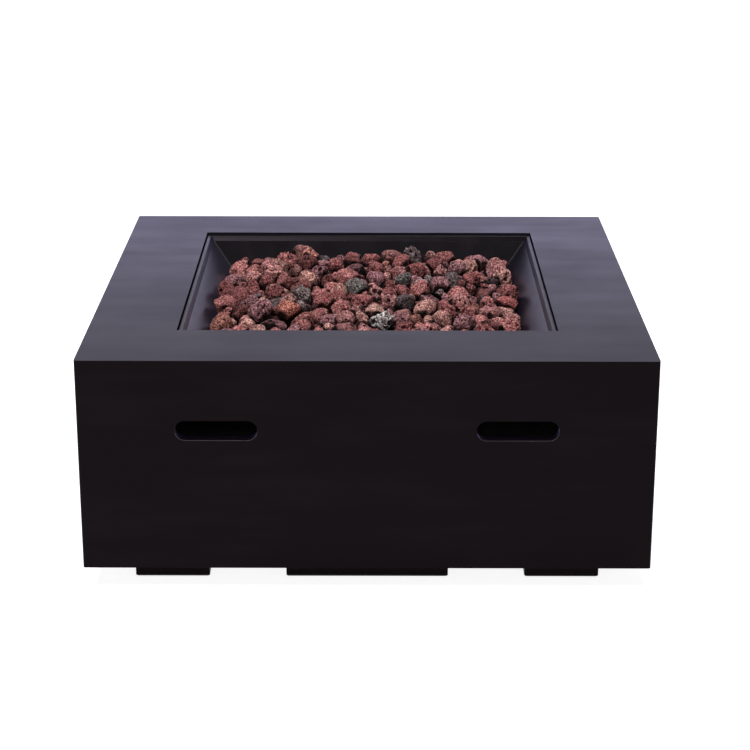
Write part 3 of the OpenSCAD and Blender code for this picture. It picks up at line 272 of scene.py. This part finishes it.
def rock_paint():
    """Porous lava: each rock's own tint, a bright and dark grain, pale dust and painted highlight
    on high crags, painted shade in pits and in pores of several sizes.
    """
    paint = Paint("lava_rock", rough=0.92)
    paint.shader.inputs["Specular IOR Level"].default_value = 0.08
    tint = paint.node("Attribute", attribute_name="tint").outputs
    broad = paint.noise(0.012, detail=4)
    grain = paint.noise(0.0030, detail=5, rough=0.75)
    pores = paint.cells(0.0048)
    # Pores lower the height, so the painted shade in hollows falls in them too.
    height = paint.math("SUBTRACT", tint["Alpha"], paint.between(pores, 0.08, 0.28, 0.45, 0.0))
    # Pale colour for the grain's pale specks, and for the painted highlight on crags.
    pale_and_highlit = paint.mix(1.0, tint["Color"], (2.8, 3.2, 3.2), blend="MULTIPLY")
    dark = paint.mix(1.0, tint["Color"], (0.16, 0.08, 0.08), blend="MULTIPLY")
    shade = paint.mix(paint.between(broad, 0.40, 0.65, 0.0, 0.35), tint["Color"], dark)
    # Pale dust and painted highlight: high crags lighten.
    shade = paint.mix(paint.between(height, 0.62, 0.90, 0.0, 0.45), shade, pale_and_highlit)
    shade = paint.mix(paint.between(grain, 0.53, 0.605, 0.0, 0.95), shade, pale_and_highlit)
    shade = paint.mix(paint.between(grain, 0.485, 0.415, 0.0, 0.97), shade, dark)
    # Painted shade: low points, pits and pores darken to near black.
    shade = paint.mix(paint.between(height, 0.52, 0.10, 0.0, 0.97), shade, (0.004, 0.0004, 0.0004))
    return paint.color(shade).bump(
        (broad, 0.0008), (paint.between(pores, 0.05, 0.40), 0.0010), (grain, 0.0007)).material


FINISHES = {
    "casing": casing_paint,
    "board": lambda: mineral_paint("cement_board", (0.36, 0.35, 0.34), 0.85, 0.004, 0.0002),
    "zinc": lambda: metal_paint("zinc_plate", (0.55, 0.56, 0.57), 0.38),
    "seal": lambda: mineral_paint("woven_seal", (0.62, 0.58, 0.50), 0.9, 0.0015, 0.0003),
    "bowl": bowl_paint,
    "stainless": lambda: metal_paint("brushed_stainless", (0.52, 0.52, 0.53), 0.30, brush="y"),
    "brass": lambda: metal_paint("turned_brass", (0.62, 0.45, 0.19), 0.30),
    "aluminium": lambda: metal_paint("mill_aluminium", (0.66, 0.67, 0.68), 0.36, brush="x"),
    "copper": lambda: metal_paint("drawn_copper", (0.66, 0.33, 0.19), 0.30),
    "valve": lambda: metal_paint("die_casting", (0.46, 0.44, 0.39), 0.52, grain=0.003),
    "dial": lambda: moulded_paint("dial_enamel", (0.030, 0.030, 0.033), 0.42),
    "knob": lambda: moulded_paint("matt_black_plastic", (0.016, 0.016, 0.017), 0.46),
    "button": lambda: moulded_paint("button_plastic", (0.014, 0.014, 0.015), 0.22),
    "battery": lambda: moulded_paint("battery_sleeve", (0.10, 0.13, 0.16), 0.35),
    "lead": lambda: moulded_paint("silicone_sleeve", (0.20, 0.022, 0.018), 0.55),
    "insulator": lambda: moulded_paint("glazed_ceramic", (0.80, 0.77, 0.70), 0.18),
    "grate": grate_paint,
    "rock": rock_paint,
}
slots = {entry["node"]: entry["material_slot"] for entry in frame["record"]["subparts"]}
paints = {slot: make() for slot, make in FINISHES.items()}
# Worn coat and painted highlight: light grey on the lower slot lips, where their rounded edges
# catch the light from above.
lip_wear_and_highlight = casing_edge_paint("cast_lip_wear_and_painted_highlight", (0.080, 0.074, 0.082), (0.125, 0.118, 0.125))
# Painted shade: near black on the opening's inner walls, which lie in shade above the bowl's rim.
opening_wall_shade = casing_edge_paint("cast_opening_wall_painted_shade", (0.009, 0.008, 0.012), (0.015, 0.013, 0.018))
weld = weld_paint()
rim_coat = bowl_paint("powder_coat_rim", ior=1.16, sheen=0.12)


def dress(piece, slot):
    """Gives a piece its slot's material."""
    piece.data.materials.clear()
    piece.data.materials.append(paints[slot])


def smooth(mesh, angle=32):
    """Smooth faces, with every edge sharper than `angle` degrees kept crisp."""
    mesh.polygons.foreach_set("use_smooth", [True] * len(mesh.polygons))
    mesh.set_sharp_from_angle(angle=math.radians(angle))


def new_piece(name, mesh, slot, replaces):
    """A piece of the root body that stands in for the CAD nodes it replaces."""
    piece = bpy.data.objects.new(name, mesh)
    bpy.context.scene.collection.objects.link(piece)
    dress(piece, slot)
    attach(piece, ROOT)
    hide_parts(*replaces)
    return piece


# ---- Casing and fire bowl, with rounded edges ----

# Points this close count as one, and a point this close to a face lies on it
SAME_POINT = 1e-5
ON_FACE = 0.0005
# Angles in degrees: flatter edges vanish into a flat face, and sharper ones are rounded
FLAT_ANGLE = 0.4
SHARP_ANGLE = 25


def merged(node):
    """The CAD node's own shape as a bmesh whose triangles are joined into flat faces."""
    shape = bmesh.new()
    shape.from_mesh(NODES[node].data)
    bmesh.ops.remove_doubles(shape, verts=shape.verts, dist=SAME_POINT)
    bmesh.ops.dissolve_limit(shape, angle_limit=math.radians(FLAT_ANGLE), verts=shape.verts,
                             edges=shape.edges)
    return shape


def edge_middle(edge):
    return (edge.verts[0].co + edge.verts[1].co) / 2


def round_edges(shape, width, segments, chosen, mark=-1):
    """Rounds each sharp edge whose middle is chosen; the new faces get `mark`, unless it is -1."""
    edges = [
        e for e in shape.edges
        if len(e.link_faces) == 2 and e.calc_face_angle(0.0) > math.radians(SHARP_ANGLE)
        and chosen(edge_middle(e))]
    bmesh.ops.bevel(shape, geom=edges, offset=width, offset_type="OFFSET", segments=segments,
                    profile=0.5, affect="EDGES", clamp_overlap=True, loop_slide=True,
                    material=mark)


def finished(shape, name, slot, replaces, *extras):
    """A piece from the shape; its faces marked 1, 2 and so on take the extra materials."""
    mesh = bpy.data.meshes.new(name)
    shape.to_mesh(mesh)
    marks = [face.material_index for face in shape.faces]
    shape.free()
    smooth(mesh, 40)
    piece = new_piece(name, mesh, slot, replaces=replaces)
    for extra in extras:
        mesh.materials.append(extra)
    if extras:
        mesh.polygons.foreach_set("material_index", marks)
    weighted = piece.modifiers.new("even_normals", "WEIGHTED_NORMAL")
    weighted.keep_sharp = True
    return piece


# The hand slots' lips lie this far above the walls' foot, below the top and in from the ends
SLOTS_ABOVE, SLOTS_BELOW, SLOTS_INSET = 0.15, 0.05, 0.05
# A lip this far under the slots' middle is one of their lower lips
LOWER_LIP = 0.004
# How far the opening's walls may stand off the bowl's rim, and how far they reach below it
OPENING_SLACK = 0.002
OPENING_REACH = 0.01
# A face is upright when its normal rises less than this
UPRIGHT = 0.1


def make_casing():
    """The casing, with its lower slot lips marked 1 for worn coat with a painted highlight and the
    opening's walls marked 2 for painted shade.
    """
    low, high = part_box("casing")
    shape = merged("casing")

    def outside(p):
        return min(p.x - low.x, high.x - p.x, p.y - low.y, high.y - p.y) < ON_FACE

    def outer_rim(p):
        return outside(p) and p.z > high.z - ON_FACE

    def opening_lip(p):
        return p.z > high.z - ON_FACE and not outer_rim(p)

    def slot_lips(p):
        on_wall = min(p.y - low.y, high.y - p.y) < ON_FACE
        level = low.z + SLOTS_ABOVE < p.z < high.z - SLOTS_BELOW
        return on_wall and level and abs(p.x) < high.x - SLOTS_INSET

    lips = [e for e in shape.edges if slot_lips(edge_middle(e))]
    middle = sum(v.co.z for e in lips for v in e.verts) / (2 * len(lips))

    def lower_lips(p):
        return slot_lips(p) and p.z < middle - LOWER_LIP

    def lower_rim(p):
        return outside(p) and p.z < low.z + ON_FACE

    round_edges(shape, 0.0020, 4, outer_rim)
    round_edges(shape, 0.0012, 3, opening_lip)
    # The lower lips' rounded faces get the light grey of worn coat and painted highlight.
    round_edges(shape, 0.0026, 3, lower_lips, mark=1)
    round_edges(shape, 0.0022, 3, slot_lips)
    round_edges(shape, 0.0020, 2, lower_rim)
    rim_low, rim_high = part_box("fire_bowl_rim")
    # Painted shade: the opening's upright walls, down to just under the bowl's rim, get the
    # near-black colour.
    for face in shape.faces:
        p = face.calc_center_median()
        within = all(rim_low[axis] - OPENING_SLACK < p[axis] < rim_high[axis] + OPENING_SLACK
                     for axis in (0, 1))
        if within and abs(face.normal.z) < UPRIGHT and p.z > rim_low.z - OPENING_REACH:
            face.material_index = 2
    finished(shape, "casing_shell", "casing", ["casing"], lip_wear_and_highlight, opening_wall_shade)


# Heights closer than this are one level
SAME_LEVEL = 0.0002


def crease_ends(shape):
    """Low and high inner end of each corner between two side sheets of the bowl."""
    spots = [v.co.copy() for v in shape.verts]
    middle = (max(p.y for p in spots) + min(p.y for p in spots)) / 2
    levels = min(p.z for p in spots), max(p.z for p in spots)
    for sx in (-1, 1):
        for sy in (-1, 1):
            ends = []
            for level in levels:
                corner = [p for p in spots if abs(p.z - level) < SAME_LEVEL
                          and p.x * sx > 0 and (p.y - middle) * sy > 0]
                ends.append(min(corner, key=lambda p: abs(p.x) + abs(p.y - middle)))
            yield ends


def weld_bead(shape, start, end, radius, steps=90, sides=8):
    """Adds a slightly rippled weld bead from start to end, of faces marked 1."""
    along = (end - start).normalized()
    across = along.cross(Vector((0, 0, 1))).normalized()
    up = across.cross(along)
    rings = []
    for i in range(steps + 1):
        size = radius * (1 + 0.16 * math.sin(i * 1.9) + 0.06 * math.sin(i * 0.7))
        ring = []
        for k in range(sides):
            turn = 2 * math.pi * k / sides
            offset = across * (size * math.cos(turn)) + up * (size * math.sin(turn))
            ring.append(shape.verts.new(start.lerp(end, i / steps) + offset))
        rings.append(ring)
    made = [shape.faces.new(rings[0]), shape.faces.new(rings[-1][::-1])]
    for a, b in zip(rings, rings[1:]):
        made += [shape.faces.new((a[k], a[k - 1], b[k - 1], b[k])) for k in range(sides)]
    for face in made:
        face.material_index = 1


# Height of the fold that lifts the rim's level face, and how far it leans outwards
RIM_FOLD = 0.0075
RIM_FOLD_RUN = 0.0040
# The fold's own points lie between these depths inside the rim's outer edge
RIM_FOLD_FROM, RIM_FOLD_TO = 0.001, 0.02
WELD_RADIUS = 0.0013


def make_bowl():
    """The bowl's folded rim and its side sheets, with a weld bead in each corner."""
    rim = merged("fire_bowl_rim")
    low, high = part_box("fire_bowl_rim")
    middle, half = (low + high) / 2, (high - low) / 2
    for vert in rim.verts:
        if vert.co.z > high.z - ON_FACE:
            for axis in (0, 1):
                off = vert.co[axis] - middle[axis]
                if half[axis] - RIM_FOLD_TO < abs(off) < half[axis] - RIM_FOLD_FROM:
                    vert.co[axis] += math.copysign(RIM_FOLD_RUN, off)
            vert.co.z += RIM_FOLD
    round_edges(rim, 0.0012, 3, lambda p: p.z > high.z)
    finished(rim, "fire_bowl_rim_sheet", "bowl", ["fire_bowl_rim"]).data.materials[0] = rim_coat
    sides = merged("fire_bowl_sides")
    creases = list(crease_ends(sides))
    round_edges(sides, 0.0003, 1, lambda p: True)
    for start, end in creases:
        weld_bead(sides, start, end, WELD_RADIUS)
    finished(sides, "fire_bowl_side_sheets", "bowl", ["fire_bowl_sides"], weld)


make_casing()
make_bowl()


# ---- Lava rocks ----

rng = np.random.default_rng(7)


def loose_balls(node):
    """Middle and radius of each loose ball of a CAD node."""
    shape = bmesh.new()
    shape.from_mesh(NODES[node].data)
    bmesh.ops.remove_doubles(shape, verts=shape.verts, dist=SAME_POINT)
    seen, balls = set(), []
    for start in shape.verts:
        if start.index in seen:
            continue
        seen.add(start.index)
        stack, group = [start], []
        while stack:
            vert = stack.pop()
            group.append(vert.co[:])
            for edge in vert.link_edges:
                other = edge.other_vert(vert)
                if other.index not in seen:
                    seen.add(other.index)
                    stack.append(other)
        group = np.array(group)
        low, high = group.min(0), group.max(0)
        balls.append([*((low + high) / 2), (high[2] - low[2]) / 2])
    shape.free()
    return np.array(balls)


def ball_mesh(subdivisions):
    """Vertices on a unit sphere, and its triangles."""
    shape = bmesh.new()
    bmesh.ops.create_icosphere(shape, subdivisions=subdivisions, radius=1.0)
    verts = np.array([v.co[:] for v in shape.verts])
    faces = np.array([[v.index for v in f.verts] for f in shape.faces])
    shape.free()
    return verts, faces


def unit_vectors(count):
    v = rng.normal(size=(count, 3))
    return v / np.linalg.norm(v, axis=1, keepdims=True)


def ripple(points, waves, count=10):
    """Smooth random ups and downs over the points, about -1 to 1, with so many waves across."""
    axes = unit_vectors(count) * waves * rng.uniform(0.6, 1.4, (count, 1))
    return np.sin(points @ axes.T + rng.uniform(0, 2 * math.pi, count)).sum(1) / math.sqrt(count)


# How crisp the edges between a rock's broken faces are, and how far one reaches at most
BREAK_CRISP = 18
BREAK_REACH = 1.10


def lava_lump(ball, rugged):
    """One rock: soft-edged broken faces, crags and pits, and how high each point stands."""
    count = int(rng.integers(8, 14))
    cuts, depths = unit_vectors(count), rng.uniform(0.70, 1.02, count)
    share = (np.maximum(ball @ cuts.T, 0) / depths) ** BREAK_CRISP
    reach = np.minimum((share.sum(1) + 1e-9) ** (-1 / BREAK_CRISP), BREAK_REACH)
    crags = 0.5 - np.abs(ripple(ball, 5.5)) + 0.6 * (0.5 - np.abs(ripple(ball, 11.0)))
    grain = ripple(ball, 19.0)
    rough = 0.055 * ripple(ball, 2.2) + rugged * (0.055 * crags + 0.020 * grain)
    pit_count = int(rng.integers(8, 30) * rugged ** 1.5) + 2
    width = rng.uniform(0.05, 0.12, pit_count) + 0.16 * rng.uniform(0, 1, pit_count) ** 6
    gap = 2 - 2 * ball @ unit_vectors(pit_count).T
    dish = np.maximum(0, 1 - gap / width ** 2)
    pit = (np.sqrt(dish) * width).max(1)
    verts = ball * (reach + rough - 0.75 * pit)[:, None]
    stretch = np.array([rng.uniform(1.02, 1.26), rng.uniform(0.90, 1.06), rng.uniform(0.78, 0.95)])
    # The height drives the material's painted highlight on crags and painted shade in pits.
    height = 0.60 + rugged * (0.15 * crags + 0.05 * grain) - 5.0 * pit
    return verts * stretch, np.clip(height, 0, 1)


def turn():
    """A random rotation matrix."""
    q, r = np.linalg.qr(rng.normal(size=(3, 3)))
    q = q * np.sign(np.diag(r))
    return q if np.linalg.det(q) > 0 else -q


# Tints with how often each comes: red-brown, deep red, pink-brown, mauve, tan, orange, greys
TINTS = (
    ((0.235, 0.088, 0.084), 24), ((0.165, 0.056, 0.055), 20), ((0.290, 0.125, 0.120), 17),
    ((0.200, 0.090, 0.098), 14), ((0.330, 0.160, 0.142), 8), ((0.270, 0.108, 0.088), 1),
    ((0.125, 0.088, 0.090), 5), ((0.055, 0.038, 0.040), 3))
TINT_SHARES = np.array([share for _, share in TINTS], float)
TINT_SHARES /= TINT_SHARES.sum()
# Rocks that stand out: place, tint and how rugged each is
ACCENTS = (
    ((0.042, -0.160), (0.36, 0.32, 0.31), 2.2), ((0.046, 0.075), (0.105, 0.090, 0.087), 0.9),
    ((-0.014, -0.125), (0.38, 0.205, 0.170), 0.4), ((-0.128, -0.090), (0.29, 0.102, 0.078), 0.4),
    ((0.066, -0.021), (0.30, 0.140, 0.110), 0.4), ((-0.006, 0.044), (0.120, 0.103, 0.100), 0.9),
    ((-0.078, 0.064), (0.34, 0.165, 0.138), 0.4), ((-0.060, 0.017), (0.33, 0.160, 0.135), 0.4),
    ((0.088, 0.064), (0.24, 0.19, 0.19), 1.7), ((-0.125, -0.010), (0.130, 0.096, 0.093), 1.7),
    ((0.218, 0.130), (0.045, 0.028, 0.030), 1.7), ((0.183, 0.106), (0.120, 0.055, 0.055), 1.7),
    ((0.244, -0.030), (0.28, 0.085, 0.083), 0.4), ((-0.241, -0.158), (0.23, 0.092, 0.074), 0.9))


# Smaller rocks: places tried, radii, how deep one nests between others, how wide the bed's
# level is taken around it, and how far under that level it stays
FILLER_TRIES = 7000
FILLER_RADII = 0.0075, 0.0125
FILLER_NESTING = 0.72
FILLER_AROUND = 0.045
FILLER_UNDER = 0.004


def filler_balls(balls, ceiling):
    """Smaller rocks that drop into the hollows between the large ones."""
    found = [tuple(b) for b in balls]
    low, high = balls[:, :2].min(0), balls[:, :2].max(0)
    ground = (balls[:, 2] - balls[:, 3]).min()
    made = []
    for _ in range(FILLER_TRIES):
        x, y = rng.uniform(low, high)
        r = rng.uniform(*FILLER_RADII)
        around = np.array(found)
        flat = (around[:, 0] - x) ** 2 + (around[:, 1] - y) ** 2
        reach = around[:, 3] + r * FILLER_NESTING
        near = flat < reach ** 2
        z = ground + r
        if near.any():
            z = max(z, (around[near, 2] + np.sqrt(reach[near] ** 2 - flat[near])).max())
        beside = flat < FILLER_AROUND ** 2
        level = np.percentile(around[beside, 2] + around[beside, 3], 70)
        if z + r < min(level - FILLER_UNDER, ceiling):
            made.append((x, y, z, r))
            found.append(made[-1])
    return np.array(made).reshape(-1, 4)


# The grid that holds the bed's height: its step, its margin and how often it is smoothed
BED_STEP = 0.004
BED_MARGIN = 0.04
BED_SMOOTHINGS = 14


def bed_level(balls):
    """A function that gives the height of the bed's surface over points."""
    step = BED_STEP
    low = balls[:, :2].min(0) - BED_MARGIN
    size = np.ceil((balls[:, :2].max(0) + BED_MARGIN - low) / step).astype(int) + 1
    x = low[0] + step * np.arange(size[0])[:, None]
    y = low[1] + step * np.arange(size[1])[None, :]
    top = np.full(size, balls[:, 2].min())
    for bx, by, bz, r in balls:
        flat = (x - bx) ** 2 + (y - by) ** 2
        top = np.maximum(top, np.where(flat < r * r, bz + np.sqrt(np.maximum(r * r - flat, 0)), 0))
    for _ in range(BED_SMOOTHINGS):
        for axis in (0, 1):
            top = (np.roll(top, 1, axis) + 2 * top + np.roll(top, -1, axis)) / 4

    def level(points):
        i, j = ((points[:, :2] - low) / step).astype(int).clip(0, size - 1).T
        return top[i, j]
    return level


# How far away a neighbour still presses, the gap it leaves, and how crisp the pressed face is
PRESS_WITHIN = 0.08
PRESS_GAP = 0.0006
PRESS_CRISP = 14


def settled(offsets, index, balls):
    """A rock pressed flat against its neighbours, and how close each point is to one, 0 to 1."""
    apart = balls[:, :3] - balls[index, :3]
    distance = np.linalg.norm(apart, axis=1)
    near = (distance > 0) & (distance < PRESS_WITHIN)
    apart, distance = apart[near], distance[near]
    r = balls[index, 3]
    plane = (distance ** 2 + r ** 2 - balls[near, 3] ** 2) / (2 * distance) - PRESS_GAP
    share = np.maximum(offsets @ (apart / distance[:, None]).T, 0) / np.maximum(plane, 0.5 * r)
    squeeze = (1 + (share ** PRESS_CRISP).sum(1)) ** (-1 / PRESS_CRISP)
    return offsets * squeeze[:, None], share.max(1) * squeeze


# Twice the bowl's sheet, so that the rocks lie on its inner face
BOWL_SHEET = 0.003
# The rocks' height over the grate's bars
GRATE_GAP = 0.0002


def bowl_planes():
    """A point on each inner side of the bowl and on the grate, and the way out through it."""
    floor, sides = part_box("fire_bowl_floor"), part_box("fire_bowl_sides")
    planes = []
    for axis in (0, 1):
        for end, sign in ((0, -1), (1, 1)):
            point, out = np.array(floor[1]), np.zeros(3)
            point[axis] = floor[end][axis]
            out[axis] = sign * (sides[1].z - floor[1].z)
            out[2] = -abs(sides[end][axis] - floor[end][axis])
            out /= np.linalg.norm(out)
            planes.append((point - out * BOWL_SHEET, out))
    on_grate = np.array(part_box("rock_grate")[1]) + (0, 0, GRATE_GAP)
    return planes + [(on_grate, np.array((0.0, 0.0, -1.0)))]


def held(verts, planes):
    """A rock's points, pressed flat where they would pass through a plane."""
    for point, out in planes:
        depth = np.maximum((verts - point) @ out, 0)
        verts = verts - depth[:, None] * out
    return verts


# How far the rocks stay under the CAD's top, and the smaller ones under that
ROCKS_UNDER_TOP = 0.0015
FILLERS_LOWER = 0.002
# A rock is this much larger than its CAD ball; from this radius on it gets the finer mesh
ROCK_GROWTH = 1.04
FINE_FROM = 0.013
ROCK_PIECES = 8
# The depth over which painted shade darkens the heap below its surface
SHADE_DEPTH = 0.014


def make_rocks():
    """The heap, in pieces from left to right; the vertices carry their tint, darkened by painted
    shade where rocks meet and below the heap's surface, and their height.
    """
    balls = loose_balls("lava_rocks")
    ceiling = cad_box[1].z - ROCKS_UNDER_TOP
    fillers = filler_balls(balls, ceiling - FILLERS_LOWER)
    everything = np.concatenate([balls, fillers])
    everything = everything[np.argsort(everything[:, 0])]
    level = bed_level(everything)
    planes = bowl_planes()
    accents = {}
    for place, color, rugged in ACCENTS:
        away = np.hypot(everything[:, 0] - place[0], everything[:, 1] - place[1])
        pick = np.argmax(everything[:, 2] + 1.5 * everything[:, 3] - 0.8 * away)
        accents[int(pick)] = color, rugged
    fine, coarse = ball_mesh(5), ball_mesh(4)
    groups = [[] for _ in range(ROCK_PIECES)]
    for i, (x, y, z, r) in enumerate(everything):
        ball, faces = fine if r > FINE_FROM else coarse
        tint = np.array(TINTS[rng.choice(len(TINTS), p=TINT_SHARES)][0]) * rng.uniform(0.58, 1.42)
        tint, rugged = accents.get(i, (tint, rng.choice((0.5, 1.0, 1.8), p=(0.42, 0.31, 0.27))))
        verts, height = lava_lump(ball, rugged)
        verts, close = settled(verts @ turn().T * (r * ROCK_GROWTH), i, everything)
        verts += (x, y, z)
        verts[:, 2] -= max(0.0, verts[:, 2].max() - ceiling)
        verts = held(verts, planes)
        # Painted shade: each rock darkens to near black where it nearly touches a neighbour.
        shade = 1 - 0.97 * np.clip((close - 0.72) / 0.22, 0, 1) ** 1.3
        groups[i * ROCK_PIECES // len(everything)].append(
            (verts, faces, np.array(tint), height, shade))
    for k, group in enumerate(groups):
        start, verts, faces, tints = 0, [], [], []
        for v, f, tint, height, shade in group:
            verts.append(v)
            faces.append(f + start)
            start += len(v)
            # Painted shade: the deeper a point lies below the heap's surface, the darker it gets.
            shade = shade * np.clip(1.10 - (level(v) - v[:, 2]) / SHADE_DEPTH, 0.02, 1.0)
            tints.append(np.column_stack([shade[:, None] * tint, height]))
        mesh = bpy.data.meshes.new(f"lava_rocks_{k + 1}")
        mesh.from_pydata(np.concatenate(verts), [], np.concatenate(faces))
        # The tint attribute holds each rock's tint with the painted shade multiplied in, and its
        # height in alpha.
        attribute = mesh.color_attributes.new("tint", "FLOAT_COLOR", "POINT")
        attribute.data.foreach_set("color", np.concatenate(tints).astype(np.float32).ravel())
        mesh.polygons.foreach_set("use_smooth", [True] * len(mesh.polygons))
        new_piece(mesh.name, mesh, "rock", replaces=["lava_rocks"])


make_rocks()


# ---- The CAD pieces that keep their shape ----

def make_spring(node):
    """The CAD coil as a piece of its own."""
    mesh = NODES[node].data.copy()
    mesh.name = node + "_coil"
    smooth(mesh)
    piece = new_piece(mesh.name, mesh, slots[node], replaces=[node])
    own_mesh(piece)


make_spring("valve_spring")
make_spring("igniter_spring")

replaced = {"casing", "fire_bowl_rim", "fire_bowl_sides", "lava_rocks", "valve_spring",
            "igniter_spring"}
for name, node in NODES.items():
    if name not in replaced:
        dress(node, slots[name])


# ---- Camera, floor and light ----

def make_camera():
    """The view from in front and above: a long lens, almost level from left to right."""
    pitch, yaw, roll = (math.radians(a) for a in (18.794, -0.020, 0.116))
    level = Vector((math.cos(yaw), math.sin(yaw), 0))
    ahead = Vector((-math.sin(yaw), math.cos(yaw), 0))
    forward = ahead * math.cos(pitch) - Vector((0, 0, math.sin(pitch)))
    up = ahead * math.sin(pitch) + Vector((0, 0, math.cos(pitch)))
    right = level * math.cos(roll) + up * math.sin(roll)
    over = up * math.cos(roll) - level * math.sin(roll)
    camera = bpy.data.objects.new("camera", bpy.data.cameras.new("camera"))
    bpy.context.scene.collection.objects.link(camera)
    camera.data.sensor_width = 36
    camera.data.lens = 95.106
    camera.data.clip_end = 100
    turned = Matrix((right, over, -forward)).transposed().to_4x4()
    camera.matrix_world = Matrix.Translation((0.011, -3.2894, 1.336)) @ turned
    bpy.context.scene.camera = camera


# Strengths: what the floor adds to its own colour for the camera, and the world's light
FLOOR_GLOW = 0.89
WORLD_LIGHT = 0.14
FLOOR_DROP = 0.0005


def make_floor():
    """A wide pale floor that shows white to the camera and keeps the soft shadow."""
    shape = bmesh.new()
    bmesh.ops.create_circle(shape, cap_ends=True, segments=96, radius=26)
    mesh = bpy.data.meshes.new("floor")
    shape.to_mesh(mesh)
    shape.free()
    floor = bpy.data.objects.new("floor", mesh)
    bpy.context.scene.collection.objects.link(floor)
    floor.location.z = -FLOOR_DROP
    paint = Paint("studio_floor", color=(0.80, 0.80, 0.80), rough=0.9)
    paint.shader.inputs["Specular IOR Level"].default_value = 0.0
    tree = paint.tree
    rays = paint.node("LightPath").outputs
    glow = paint.node("Emission", {"Color": (1, 1, 1, 1), "Strength": FLOOR_GLOW})
    total = paint.node("AddShader")
    tree.links.new(paint.shader.outputs["BSDF"], total.inputs[0])
    tree.links.new(glow.outputs["Emission"], total.inputs[1])
    seen = paint.math("MAXIMUM", rays["Is Camera Ray"], paint.math(
        "MAXIMUM", rays["Is Glossy Ray"], rays["Is Transmission Ray"]))
    choice = paint.node("MixShader", {"Fac": seen})
    tree.links.new(paint.shader.outputs["BSDF"], choice.inputs[1])
    tree.links.new(total.outputs["Shader"], choice.inputs[2])
    tree.links.new(choice.outputs["Shader"], tree.nodes["Material Output"].inputs["Surface"])
    mesh.materials.append(paint.material)


def make_world():
    """White to the camera and in reflections, and a soft even light on the object."""
    world = bpy.data.worlds.new("studio")
    world.use_nodes = True
    bpy.context.scene.world = world
    tree = world.node_tree
    back = tree.nodes["Background"]
    back.inputs["Color"].default_value = (1, 1, 1, 1)
    rays = tree.nodes.new("ShaderNodeLightPath").outputs
    seen = tree.nodes.new("ShaderNodeMath")
    seen.operation = "MAXIMUM"
    tree.links.new(rays["Is Camera Ray"], seen.inputs[0])
    shown = tree.nodes.new("ShaderNodeMath")
    shown.operation = "MAXIMUM"
    tree.links.new(rays["Is Glossy Ray"], shown.inputs[0])
    tree.links.new(rays["Is Transmission Ray"], shown.inputs[1])
    tree.links.new(shown.outputs[0], seen.inputs[1])
    strength = tree.nodes.new("ShaderNodeMapRange")
    strength.inputs["To Min"].default_value = WORLD_LIGHT
    strength.inputs["To Max"].default_value = 1.0
    tree.links.new(seen.outputs[0], strength.inputs["Value"])
    tree.links.new(strength.outputs["Result"], back.inputs["Strength"])


def softbox(name, place, aim, size, power, color=(1, 1, 1)):
    """A rectangular lamp of `power` watts at `place` that faces `aim`."""
    light = bpy.data.objects.new(name, bpy.data.lights.new(name, "AREA"))
    light.data.color = color
    bpy.context.scene.collection.objects.link(light)
    light.data.shape = "RECTANGLE"
    light.data.size, light.data.size_y = size
    light.data.energy = power
    light.location = place
    light.rotation_mode = "QUATERNION"
    light.rotation_quaternion = (Vector(aim) - Vector(place)).to_track_quat("-Z", "Y")


make_camera()
make_floor()
make_world()
softbox("key_front_left", (-0.7, -2.2, 2.4), (0, 0, 0.3), (0.7, 0.55), 74)
softbox("top_behind", (0.3, 0.7, 2.8), (0, 0, 0.3), (0.6, 0.5), 46)
softbox("card_behind", (0, 1.1, 0.58), (0, 0, 0.40), (2.6, 0.30), 3.4, (0.58, 0.54, 1.0))

bpy.context.scene.view_settings.view_transform = "Standard"
